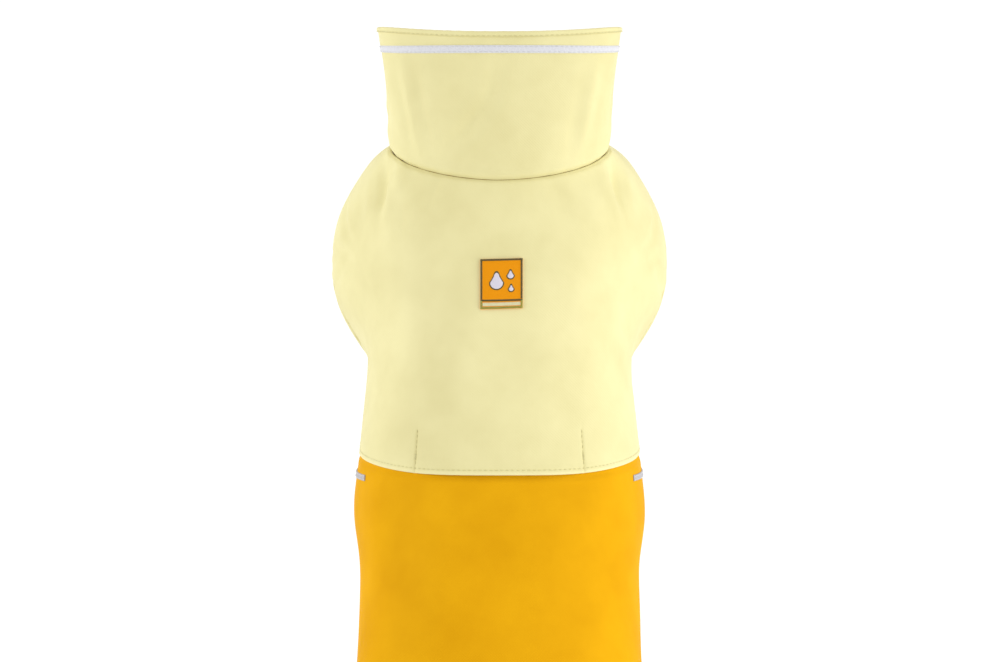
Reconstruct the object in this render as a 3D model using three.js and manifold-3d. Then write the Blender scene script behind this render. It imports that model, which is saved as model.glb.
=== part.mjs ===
// A pull-on dog raincoat, filled out as it is when worn: collar, yoke, two short sleeves,
// back panel, belly panel, reflective tapes, rim binding and a plain woven patch.
// Millimetres. +Z is up, +Y points to the head, +X is the wearer's right-hand side seen
// from behind. The origin is on the inside of the cloth at the withers.

import * as THREE from 'three';
import Module from 'manifold-3d';
import { mergeVertices } from 'three/addons/utils/BufferGeometryUtils.js';

// Cloth and gaps
const CLOTH = 1.2;
const TRIM = 1.0;
const GAP = 0.3;
const LAYER_GAP = 0.6;
const BINDING_PROUD = 0.8;
const BINDING_INSIDE = 2.2;
const BINDING_HEIGHT = 3.2;

// The body, as slanted rings from the neck seam to the rear hem. Each row gives where its
// ring crosses the middle of the back and of the belly, and its half width.
const RINGS = [
  { backY: 31.5, backZ: 6.5, bellyY: 112, bellyZ: -78, half: 68.6 },
  { backY: 12, backZ: 3, bellyY: 121, bellyZ: -122, half: 79 },
  { backY: -12, backZ: 0, bellyY: 102, bellyZ: -176, half: 85.5 },
  { backY: -46, backZ: -4, bellyY: 62, bellyZ: -216, half: 85 },
  { backY: -94, backZ: -10, bellyY: 4, bellyZ: -232, half: 85.5 },
  { backY: -154, backZ: -17, bellyY: -66, bellyZ: -230, half: 91 },
  { backY: -180, backZ: -20, bellyY: -114, bellyZ: -222, half: 92.5 },
  { backY: -214, backZ: -23, bellyY: -176, bellyZ: -208, half: 87.8 },
  { backY: -272, backZ: -30, bellyY: -258, bellyZ: -188, half: 88.6 },
  { backY: -335, backZ: -42, bellyY: -335, bellyZ: -174, half: 91.5 },
  { backY: -382, backZ: -60, bellyY: -388, bellyZ: -168, half: 91 },
];
// The neck seam is more pointed than the other rings, and they grow boxier behind it
const ROUNDNESS = { neck: 1.75, body: 2.35, blendRings: 1.5 };
const CHEST_NARROWING = 0.07;

// The fullness cut over each shoulder, centred in the side view
const SHOULDER = { y: 17, z: -116, front: 77, rear: 45, tall: 62, out: 26.5, fade: 0.6 };
const SHOULDER_POWER = { front: 2.6, rear: 2.9, tall: 2.2 };

// Soft folds: centre in ring and degrees, half length along the coat, half width round it,
// depth inwards, and slant in degrees for each ring travelled
const FOLDS = [
  { ring: 1.20, angle: 19, length: 0.85, width: 6.5, depth: 1.7, slant: -2 },
  { ring: 1.25, angle: 161, length: 0.90, width: 6.5, depth: 2.0, slant: 2 },
  { ring: 3.60, angle: 2, length: 0.80, width: 9.0, depth: 2.0, slant: -8 },
  { ring: 3.70, angle: 179, length: 0.75, width: 9.0, depth: 2.2, slant: 7 },
  { ring: 8.20, angle: -12, length: 1.10, width: 8.0, depth: 2.2, slant: 9 },
  { ring: 8.00, angle: 190, length: 1.20, width: 8.5, depth: 2.0, slant: -8 },
];

// The collar: a slanted tube from the neck seam to its rim, whose sides stand a little
// higher than its nape and throat. Its tape runs straight, so it lies lower at the sides.
const RIM = { backY: 112.5, backZ: 52, throatY: 157, throatZ: -47, half: 78, sidesUp: 4.5 };
const COLLAR_ROUNDNESS = 2.3;
const COLLAR_RISE = 27;
const COLLAR_LENGTH = 80;
const COLLAR_WAIST = 0.015;
const TAPE_FROM_RIM = 6.7;
const TAPE_SIDES_DOWN = 3.5;
const TAPE_WIDTH = 4.2;

// The yoke's free hem is ring 5 on the back, and curves a little forward down the sides,
// between two angles from the middle of the back. The back panel reaches forward under it,
// and the hem lies loose over the back panel between two short rows of stitching.
const YOKE_HEM_RING = 5;
const HEM_SIDES = { forwardRings: 0.135, startAngle: 15, endAngle: 95 };
const UNDERLAP_RINGS = 0.6;
const RAMP = { startRings: 0.02, endRings: 0.3 };
const PORTAL_HALF = 48;
const PORTAL_POWER = 4;
const PORTAL_LIFT = 2.0;
const PORTAL_RINGS = 0.55;

// The belly panel runs between the side seams, and ends well before the back panel
const SIDE_SEAM = -45;
const SEAM_GAP_ANGLE = 0.3;
const BELLY_END_RING = 7.5;
const BELLY_NOTCH_RINGS = 0.55;
const REAR_SIDE_ANGLE = -24;
const REAR_CORNER_RINGS = 1.1;
const REAR_CORNER_POWER = 5;

// Armholes are ellipses in the side view, and sleeves run from them to round cuffs
const ARMHOLE = { y: 20, z: -156, halfY: 45, halfZ: 51 };
const ARMHOLE_CUTTER = { inner: 22, outer: 135 };
const ARMHOLE_SEAM = 0.35;
const CUFF = { x: 58, y: 11, z: -266, halfX: 27, halfY: 37 };

// Flat trims
const PATCH = { startRing: 2.22, endRing: 3.10, half: 13, x: 1.2, tiltRings: 0.01 };
const FLANK_TAPE = { ring: 5.19, width: 5.5, lowAngle: -43, topAngle: 31 };
const RING_SPACING_AT_TAPE = 43;

// Grid counts
const BODY_COLUMNS = 36;
const YOKE_ROWS = 17;
const BACK_ROWS = 19;
const BELLY_ROWS = 17;
const BELLY_COLUMNS = 10;
const COLLAR_COLUMNS = 36;
const COLLAR_ROWS = 6;
const SLEEVE_COLUMNS = 26;
const SLEEVE_ROWS = 8;
const PATCH_CELLS = 6;
const FLANK_TAPE_ROWS = 2;
const FLANK_TAPE_COLUMNS = 16;

// Numerical steps
const NORMAL_STEP = 1e-3;
const HALVINGS = 40;
const MERGE_DISTANCE = 1e-4;

const LAST_RING = RINGS.length - 1;
const rad = THREE.MathUtils.degToRad;
const smooth = (value, from, to) => THREE.MathUtils.smoothstep(value, from, to);
const signedPower = (value, power) => Math.sign(value) * Math.abs(value) ** power;

/** One column of RINGS at a ring number with a fraction, as a uniform Catmull-Rom curve. */
function ringValue(column, ring) {
  const start = Math.min(Math.max(Math.floor(ring), 0), LAST_RING - 1);
  const t = ring - start;
  const [a, b, c, d] = [start - 1, start, start + 1, start + 2].map(
    (row) => RINGS[Math.min(Math.max(row, 0), LAST_RING)][column],
  );
  return 0.5 * (2 * b + (c - a) * t + (2 * a - 5 * b + 4 * c - d) * t * t
    + (3 * b - a - 3 * c + d) * t * t * t);
}

/** How far the shoulder fullness pushes a side-view point outwards. */
function shoulderFullness(y, z) {
  const end = y > SHOULDER.y ? 'front' : 'rear';
  const along = Math.abs((y - SHOULDER.y) / SHOULDER[end]) ** SHOULDER_POWER[end];
  const up = Math.abs((z - SHOULDER.z) / SHOULDER.tall) ** SHOULDER_POWER.tall;
  return SHOULDER.out * Math.exp(-along - up);
}

/** Depth of the soft folds at a place on the body. */
function foldDepth(ring, angle) {
  let depth = 0;
  for (const fold of FOLDS) {
    const along = (ring - fold.ring) / fold.length;
    const across = (angle - fold.angle - fold.slant * (ring - fold.ring)) / fold.width;
    depth += fold.depth * Math.exp(-along * along - across * across);
  }
  return depth;
}

/** Roundness of a ring: 2 would be an ellipse, and more is boxier. */
function roundness(ring) {
  return ROUNDNESS.neck + (ROUNDNESS.body - ROUNDNESS.neck) * smooth(ring, 0, ROUNDNESS.blendRings);
}

/** Point of the body's outer surface. Angle 0 is the right side and 90 the back. */
function bodyPoint(ring, angle) {
  const power = 2 / roundness(ring);
  const get = (column) => ringValue(column, ring);
  const cosine = Math.cos(rad(angle));
  const round = signedPower(Math.sin(rad(angle)), power);
  const y = (get('backY') + get('bellyY')) / 2 + (get('backY') - get('bellyY')) / 2 * round;
  const z = (get('backZ') + get('bellyZ')) / 2 + (get('backZ') - get('bellyZ')) / 2 * round;
  const width = get('half') * (1 + CHEST_NARROWING * round);
  const x = width * signedPower(cosine, power)
    + shoulderFullness(y, z) * signedPower(cosine, SHOULDER.fade)
    - foldDepth(ring, angle) * cosine;
  return new THREE.Vector3(x, y, z);
}

/** Point of the collar's outer surface: 0 is the neck seam and 1 the rim. */
function collarPoint(height, angle) {
  const seam = bodyPoint(0, angle);
  const cosine = Math.cos(rad(angle));
  const round = signedPower(Math.sin(rad(angle)), 2 / COLLAR_ROUNDNESS);
  const raised = RIM.sidesUp * cosine * cosine;
  const rim = new THREE.Vector3(
    RIM.half * signedPower(cosine, 2 / COLLAR_ROUNDNESS),
    (RIM.backY + RIM.throatY) / 2 + (RIM.backY - RIM.throatY) / 2 * round
      + raised * Math.cos(rad(COLLAR_RISE)),
    (RIM.backZ + RIM.throatZ) / 2 + (RIM.backZ - RIM.throatZ) / 2 * round
      + raised * Math.sin(rad(COLLAR_RISE)),
  );
  const point = seam.lerp(rim, height);
  point.x *= 1 - COLLAR_WAIST * Math.sin(Math.PI * height) * Math.abs(cosine);
  return point;
}

/** Ring number and angle of the right side's point with this side view. */
function sideViewPlace(y, z) {
  let low = 0;
  let high = LAST_RING;
  const frameAt = (ring) => {
    const back = [ringValue('backY', ring), ringValue('backZ', ring)];
    const belly = [ringValue('bellyY', ring), ringValue('bellyZ', ring)];
    return { back, belly };
  };
  for (let step = 0; step < HALVINGS; step += 1) {
    const middle = (low + high) / 2;
    const { back, belly } = frameAt(middle);
    const side = (belly[0] - back[0]) * (z - back[1]) - (belly[1] - back[1]) * (y - back[0]);
    if (side < 0) low = middle;
    else high = middle;
  }
  const { back, belly } = frameAt(low);
  const axis = [(back[0] - belly[0]) / 2, (back[1] - belly[1]) / 2];
  const offset = [y - (back[0] + belly[0]) / 2, z - (back[1] + belly[1]) / 2];
  const share = (offset[0] * axis[0] + offset[1] * axis[1]) / (axis[0] ** 2 + axis[1] ** 2);
  const sine = signedPower(THREE.MathUtils.clamp(share, -1, 1), roundness(low) / 2);
  return { ring: low, angle: THREE.MathUtils.radToDeg(Math.asin(sine)) };
}

/** Point of the right sleeve: along 0 at the armhole to 1 at the cuff, turn 90 outside. */
function sleevePoint(along, turn) {
  const c = Math.cos(rad(turn));
  const s = Math.sin(rad(turn));
  const place = sideViewPlace(
    ARMHOLE.y + (ARMHOLE.halfY - ARMHOLE_SEAM) * c,
    ARMHOLE.z + (ARMHOLE.halfZ - ARMHOLE_SEAM) * s,
  );
  const start = bodyPoint(place.ring, place.angle);
  const end = new THREE.Vector3(CUFF.x + CUFF.halfX * s, CUFF.y + CUFF.halfY * c, CUFF.z);
  const third = new THREE.Vector3(0, 0, -start.distanceTo(end) / 3);
  const curve = new THREE.CubicBezierCurve3(
    start, start.clone().add(third), end.clone().sub(third), end,
  );
  return curve.getPoint(along);
}

/** Outward normal of a surface that takes a row and a column share. */
function normalAt(surface, row, column) {
  const rowLow = Math.max(row - NORMAL_STEP, 0);
  const rowHigh = Math.min(row + NORMAL_STEP, 1);
  const alongRows = surface(rowHigh, column).sub(surface(rowLow, column));
  const alongColumns = surface(row, column + NORMAL_STEP).sub(surface(row, column - NORMAL_STEP));
  return alongColumns.cross(alongRows).normalize();
}

/**
 * Closed wall of cloth: a grid over a surface, once at the outer offset and once at the
 * inner one, joined at the edges. Offsets are millimetres out of the surface, as numbers
 * or as functions of the row and column shares.
 */
function clothWall({ surface, rows, columns, outer, inner, round = false }) {
  const across = round ? columns : columns + 1;
  const offsets = [outer, inner].map((value) => (typeof value === 'function' ? value : () => value));
  const points = [];
  for (const offset of offsets) {
    for (let i = 0; i <= rows; i += 1) {
      for (let j = 0; j < across; j += 1) {
        const [row, column] = [i / rows, j / columns];
        const normal = normalAt(surface, row, column);
        points.push(surface(row, column).addScaledVector(normal, offset(row, column)));
      }
    }
  }
  const layer = (rows + 1) * across;
  const at = (side, i, j) => side * layer + i * across + (j % across);
  const faces = [];
  const quad = (a, b, c, d) => faces.push([a, b, c], [a, c, d]);
  for (let i = 0; i < rows; i += 1) {
    for (let j = 0; j < columns; j += 1) {
      quad(at(0, i, j), at(0, i, j + 1), at(0, i + 1, j + 1), at(0, i + 1, j));
      quad(at(1, i, j), at(1, i + 1, j), at(1, i + 1, j + 1), at(1, i, j + 1));
    }
  }
  for (let j = 0; j < columns; j += 1) {
    quad(at(0, 0, j), at(1, 0, j), at(1, 0, j + 1), at(0, 0, j + 1));
    quad(at(0, rows, j), at(0, rows, j + 1), at(1, rows, j + 1), at(1, rows, j));
  }
  if (!round) {
    for (let i = 0; i < rows; i += 1) {
      quad(at(0, i, 0), at(0, i + 1, 0), at(1, i + 1, 0), at(1, i, 0));
      quad(at(0, i, columns), at(1, i, columns), at(1, i + 1, columns), at(0, i + 1, columns));
    }
  }
  const geometry = new THREE.BufferGeometry();
  geometry.setAttribute('position', new THREE.Float32BufferAttribute(points.flatMap((p) => p.toArray()), 3));
  geometry.setIndex(faces.flat());
  return geometry;
}

/** The same geometry on the other side of the coat. */
function mirrored(geometry) {
  const copy = geometry.clone().scale(-1, 1, 1);
  const index = copy.getIndex().array;
  for (let i = 0; i < index.length; i += 3) {
    [index[i + 1], index[i + 2]] = [index[i + 2], index[i + 1]];
  }
  return copy;
}

/** Elliptical bar across one side of the coat, which opens an armhole. */
function armholeCutter() {
  const length = ARMHOLE_CUTTER.outer - ARMHOLE_CUTTER.inner;
  const bar = new THREE.CylinderGeometry(1, 1, length, SLEEVE_COLUMNS * 2);
  bar.rotateZ(-Math.PI / 2);
  bar.scale(1, ARMHOLE.halfY, ARMHOLE.halfZ);
  bar.translate(ARMHOLE_CUTTER.inner + length / 2, ARMHOLE.y, ARMHOLE.z);
  return bar;
}

const wasm = await Module();
wasm.setup();

/** Solid of a closed geometry. */
function toSolid(geometry) {
  const bare = geometry.clone();
  bare.deleteAttribute('normal');
  bare.deleteAttribute('uv');
  const merged = mergeVertices(bare, MERGE_DISTANCE);
  return new wasm.Manifold(new wasm.Mesh({
    numProp: 3,
    vertProperties: new Float32Array(merged.getAttribute('position').array),
    triVerts: new Uint32Array(merged.getIndex().array),
  }));
}

/** The geometry with both armholes cut through it. */
function withArmholes(geometry) {
  const right = armholeCutter();
  const cut = toSolid(geometry).subtract(toSolid(right)).subtract(toSolid(mirrored(right)));
  const { vertProperties, triVerts } = cut.getMesh();
  const result = new THREE.BufferGeometry();
  result.setAttribute('position', new THREE.Float32BufferAttribute(vertProperties, 3));
  result.setIndex(new THREE.Uint32BufferAttribute(triVerts, 1));
  return result;
}

const backHalfAngle = 90 - SIDE_SEAM - SEAM_GAP_ANGLE / 2;

/** Ring of the yoke's hem at an angle round the body. */
function yokeHemRing(angle) {
  const turn = smooth(Math.abs(angle - 90), HEM_SIDES.startAngle, HEM_SIDES.endAngle);
  return YOKE_HEM_RING - HEM_SIDES.forwardRings * turn;
}

/** The yoke, from the neck seam to its free hem, over the back and both shoulders. */
function yoke() {
  const place = (row, column) => {
    const angle = 90 + (2 * column - 1) * backHalfAngle;
    return { ring: row * yokeHemRing(angle), angle };
  };
  const surface = (row, column) => {
    const { ring, angle } = place(row, column);
    return bodyPoint(ring, angle);
  };
  const lift = (row, column) => {
    const { ring, angle } = place(row, column);
    const side = Math.abs(surface(row, column).x) / PORTAL_HALF;
    if (side >= 1 || Math.sin(rad(angle)) < 0) return 0;
    const hem = yokeHemRing(angle);
    return PORTAL_LIFT * (1 - side ** PORTAL_POWER) * smooth(ring, hem - PORTAL_RINGS, hem);
  };
  return withArmholes(clothWall({
    surface,
    rows: YOKE_ROWS,
    columns: BODY_COLUMNS,
    outer: lift,
    inner: (row, column) => lift(row, column) - CLOTH,
  }));
}

/** Ring where the back panel ends, rounded off towards its lower corners. */
function rearHemRing(column) {
  return LAST_RING - REAR_CORNER_RINGS * Math.abs(2 * column - 1) ** REAR_CORNER_POWER;
}

/** Half the angle that the back panel covers: less behind the belly panel's end. */
function backPanelHalfAngle(ring) {
  const free = smooth(ring, BELLY_END_RING, LAST_RING);
  return backHalfAngle - free * (REAR_SIDE_ANGLE - SIDE_SEAM);
}

/** Ring and angle of the back panel's shares, from under the yoke to the rear hem. */
function backPanelPlace(row, column) {
  const first = yokeHemRing(90 + (2 * column - 1) * backHalfAngle) - UNDERLAP_RINGS;
  const ring = first + row * (rearHemRing(column) - first);
  return { ring, angle: 90 + (2 * column - 1) * backPanelHalfAngle(ring) };
}

/** How far the back panel lies under the body's outer surface, to pass below the yoke. */
function backPanelDrop({ ring, angle }) {
  const behind = ring - yokeHemRing(angle);
  return (CLOTH + LAYER_GAP) * (1 - smooth(behind, RAMP.startRings, RAMP.endRings));
}

function backPanel() {
  const outer = (row, column) => -backPanelDrop(backPanelPlace(row, column));
  return clothWall({
    surface: (row, column) => {
      const { ring, angle } = backPanelPlace(row, column);
      return bodyPoint(ring, angle);
    },
    rows: BACK_ROWS,
    columns: BODY_COLUMNS,
    outer,
    inner: (row, column) => outer(row, column) - CLOTH,
  });
}

/** The belly panel, from the throat to a hem cut higher in the middle. */
function bellyPanel() {
  const half = 90 + SIDE_SEAM - SEAM_GAP_ANGLE / 2;
  const surface = (row, column) => {
    const side = 2 * column - 1;
    const end = BELLY_END_RING - BELLY_NOTCH_RINGS * (1 - side * side);
    return bodyPoint(row * end, -90 + side * half);
  };
  return withArmholes(clothWall({
    surface,
    rows: BELLY_ROWS,
    columns: BELLY_COLUMNS,
    outer: 0,
    inner: -CLOTH,
  }));
}

/** A sleeve for the right side, open at the armhole and at the cuff. */
function sleeve() {
  return clothWall({
    surface: (row, column) => sleevePoint(row, column * 360),
    rows: SLEEVE_ROWS,
    columns: SLEEVE_COLUMNS,
    outer: 0,
    inner: -CLOTH,
    round: true,
  });
}

/** A band round the collar, between two distances down from the rim. */
function collarBand({ top, bottom, rows, outer, inner, sidesDown = 0 }) {
  const surface = (row, column) => {
    const cosine = Math.cos(rad(column * 360));
    const down = top + row * (bottom - top) + sidesDown * cosine * cosine;
    return collarPoint(1 - down / COLLAR_LENGTH, column * 360);
  };
  return clothWall({ surface, rows, columns: COLLAR_COLUMNS, outer, inner, round: true });
}

/** The woven patch on the middle of the yoke. */
function patch() {
  const surface = (row, column) => {
    const side = 2 * column - 1;
    const ring = PATCH.startRing + row * (PATCH.endRing - PATCH.startRing) - side * PATCH.tiltRings;
    const share = (PATCH.x + side * PATCH.half) / ringValue('half', ring);
    const angle = THREE.MathUtils.radToDeg(Math.acos(signedPower(share, roundness(ring) / 2)));
    return bodyPoint(ring, angle);
  };
  const flipped = (row, column) => surface(row, 1 - column);
  return clothWall({
    surface: flipped,
    rows: PATCH_CELLS,
    columns: PATCH_CELLS,
    outer: GAP + TRIM,
    inner: GAP,
  });
}

/** The reflective tape down the right flank, beside the yoke's hem. */
function flankTape() {
  const halfRings = FLANK_TAPE.width / RING_SPACING_AT_TAPE / 2;
  const place = (row, column) => ({
    ring: FLANK_TAPE.ring + (2 * row - 1) * halfRings,
    angle: FLANK_TAPE.lowAngle + column * (FLANK_TAPE.topAngle - FLANK_TAPE.lowAngle),
  });
  const surface = (row, column) => {
    const { ring, angle } = place(row, column);
    return bodyPoint(ring, angle);
  };
  const seat = (row, column) => GAP - backPanelDrop(place(row, column));
  return clothWall({
    surface,
    rows: FLANK_TAPE_ROWS,
    columns: FLANK_TAPE_COLUMNS,
    outer: (row, column) => seat(row, column) + TRIM,
    inner: seat,
  });
}

const paleShell = { color: 0xf3eeb4, roughness: 0.62, metalness: 0 };
const amberShell = { color: 0xfbb41c, roughness: 0.58, metalness: 0 };
const reflective = { color: 0xdcdde2, roughness: 0.35, metalness: 0.3 };
const woven = { color: 0xe8971f, roughness: 0.8, metalness: 0 };

const coat = new THREE.Group();

function addPiece(name, geometry, finish) {
  const mesh = new THREE.Mesh(geometry, new THREE.MeshStandardMaterial(finish));
  mesh.name = name;
  coat.add(mesh);
}

addPiece('yoke', yoke(), paleShell);
addPiece('back_panel', backPanel(), amberShell);
addPiece('belly_panel', bellyPanel(), amberShell);
addPiece('sleeve_right', sleeve(), paleShell);
addPiece('sleeve_left', mirrored(sleeve()), paleShell);
addPiece('collar', collarBand({
  top: BINDING_HEIGHT + GAP, bottom: COLLAR_LENGTH - GAP, rows: COLLAR_ROWS, outer: 0, inner: -CLOTH,
}), paleShell);
addPiece('collar_rim_binding', collarBand({
  top: 0, bottom: BINDING_HEIGHT, rows: 1, outer: BINDING_PROUD, inner: -BINDING_INSIDE,
}), paleShell);
addPiece('collar_reflective_tape', collarBand({
  top: TAPE_FROM_RIM,
  bottom: TAPE_FROM_RIM + TAPE_WIDTH,
  rows: 1,
  outer: GAP + TRIM,
  inner: GAP,
  sidesDown: TAPE_SIDES_DOWN,
}), reflective);
addPiece('woven_patch', patch(), woven);
addPiece('flank_tape_right', flankTape(), reflective);
addPiece('flank_tape_left', mirrored(flankTape()), reflective);

export default coat;
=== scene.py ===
"""A pull-on dog raincoat, filled out as it is when worn.

Every cut piece is a thin cloth shell on the form of its solid: the body's slanted rings, the
collar and the sleeves are worked out from the same sizes as the solids, in millimetres, and
creases, hems, seams and puckers are added to them as soft relief. Topstitching, bar tacks, the
rim binding, the tapes and the woven patch are pieces of their own.
"""

import logging
import math
from collections.abc import Callable, Sequence
from dataclasses import dataclass, field
from enum import Enum

import bpy
import numpy as np
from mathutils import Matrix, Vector


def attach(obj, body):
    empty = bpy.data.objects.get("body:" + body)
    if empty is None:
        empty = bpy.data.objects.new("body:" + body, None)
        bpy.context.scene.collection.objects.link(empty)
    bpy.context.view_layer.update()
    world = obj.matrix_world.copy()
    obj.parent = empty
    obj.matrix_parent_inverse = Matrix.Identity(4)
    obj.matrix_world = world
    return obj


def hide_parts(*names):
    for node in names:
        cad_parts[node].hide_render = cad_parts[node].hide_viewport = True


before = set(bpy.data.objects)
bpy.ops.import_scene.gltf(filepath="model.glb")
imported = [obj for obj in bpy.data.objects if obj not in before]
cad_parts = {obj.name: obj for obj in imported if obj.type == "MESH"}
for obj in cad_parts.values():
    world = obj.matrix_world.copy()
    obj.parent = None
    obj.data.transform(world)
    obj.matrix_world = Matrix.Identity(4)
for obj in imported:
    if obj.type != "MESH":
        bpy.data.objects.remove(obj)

logging.basicConfig(level=logging.INFO, format="%(message)s")
log = logging.getLogger("raincoat")

MM = 0.001
ROOT = "root"


class Slot(Enum):
    """Material slots of the record."""

    PALE = "pale_shell"
    AMBER = "amber_shell"
    TAPE = "reflective_tape"
    PATCH = "woven_patch"


class Side(Enum):
    """Side of the coat, as the sign of x."""

    RIGHT = 1
    LEFT = -1


# Form: the sizes of the solids


@dataclass(frozen=True)
class Ring:
    """One slanted ring of the body: where it crosses the back and the belly, in mm."""

    back_y: float
    back_z: float
    belly_y: float
    belly_z: float
    half: float


RINGS: tuple[Ring, ...] = (
    Ring(back_y=31.5, back_z=6.5, belly_y=112, belly_z=-78, half=68.6),
    Ring(back_y=12, back_z=3, belly_y=121, belly_z=-122, half=79),
    Ring(back_y=-12, back_z=0, belly_y=102, belly_z=-176, half=85.5),
    Ring(back_y=-46, back_z=-4, belly_y=62, belly_z=-216, half=85),
    Ring(back_y=-94, back_z=-10, belly_y=4, belly_z=-232, half=85.5),
    Ring(back_y=-154, back_z=-17, belly_y=-66, belly_z=-230, half=91),
    Ring(back_y=-180, back_z=-20, belly_y=-114, belly_z=-222, half=92.5),
    Ring(back_y=-214, back_z=-23, belly_y=-176, belly_z=-208, half=87.8),
    Ring(back_y=-272, back_z=-30, belly_y=-258, belly_z=-188, half=88.6),
    Ring(back_y=-335, back_z=-42, belly_y=-335, belly_z=-174, half=91.5),
    Ring(back_y=-382, back_z=-60, belly_y=-388, belly_z=-168, half=91),
)
LAST_RING = len(RINGS) - 1


@dataclass(frozen=True)
class Fold:
    """A broad soft fold of the body's form: half length in rings, half width in degrees."""

    ring: float
    angle: float
    length: float
    width: float
    depth: float
    slant: float


FOLDS: tuple[Fold, ...] = (
    Fold(ring=1.20, angle=19, length=0.85, width=6.5, depth=1.7, slant=-2),
    Fold(ring=1.25, angle=161, length=0.90, width=6.5, depth=2.0, slant=2),
    Fold(ring=3.60, angle=2, length=0.80, width=9.0, depth=2.0, slant=-8),
    Fold(ring=3.70, angle=179, length=0.75, width=9.0, depth=2.2, slant=7),
    Fold(ring=8.20, angle=-12, length=1.10, width=8.0, depth=2.2, slant=9),
    Fold(ring=8.00, angle=190, length=1.20, width=8.5, depth=2.0, slant=-8),
)


def smooth(value: np.ndarray, start: float, end: float) -> np.ndarray:
    """Smooth step from 0 at start to 1 at end."""
    share = np.clip((value - start) / (end - start), 0, 1)
    return share * share * (3 - 2 * share)


def signed_power(value: np.ndarray, power: float) -> np.ndarray:
    """Power of a number's size, with its sign kept."""
    return np.sign(value) * np.abs(value) ** power


def unit(vectors: np.ndarray) -> np.ndarray:
    """Vectors at length 1."""
    return vectors / np.maximum(np.linalg.norm(vectors, axis=-1, keepdims=True), 1e-12)


class Surface:
    """A surface of two parameters, row and column, in millimetres."""

    row_step: float = 1e-3
    column_step: float = 0.1

    def point(self, row: np.ndarray, column: np.ndarray) -> np.ndarray:
        """Point of the surface."""
        raise NotImplementedError

    def slopes(self, row: np.ndarray, column: np.ndarray) -> tuple[np.ndarray, np.ndarray]:
        """Change of the point with row and with column, for one unit of each."""
        down = self.point(row + self.row_step, column) - self.point(row - self.row_step, column)
        over = self.point(row, column + self.column_step) - self.point(row, column - self.column_step)
        return down / (2 * self.row_step), over / (2 * self.column_step)

    def normal(self, row: np.ndarray, column: np.ndarray) -> np.ndarray:
        """Unit normal out of the coat."""
        down, over = self.slopes(row, column)
        return unit(np.cross(over, down))


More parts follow.
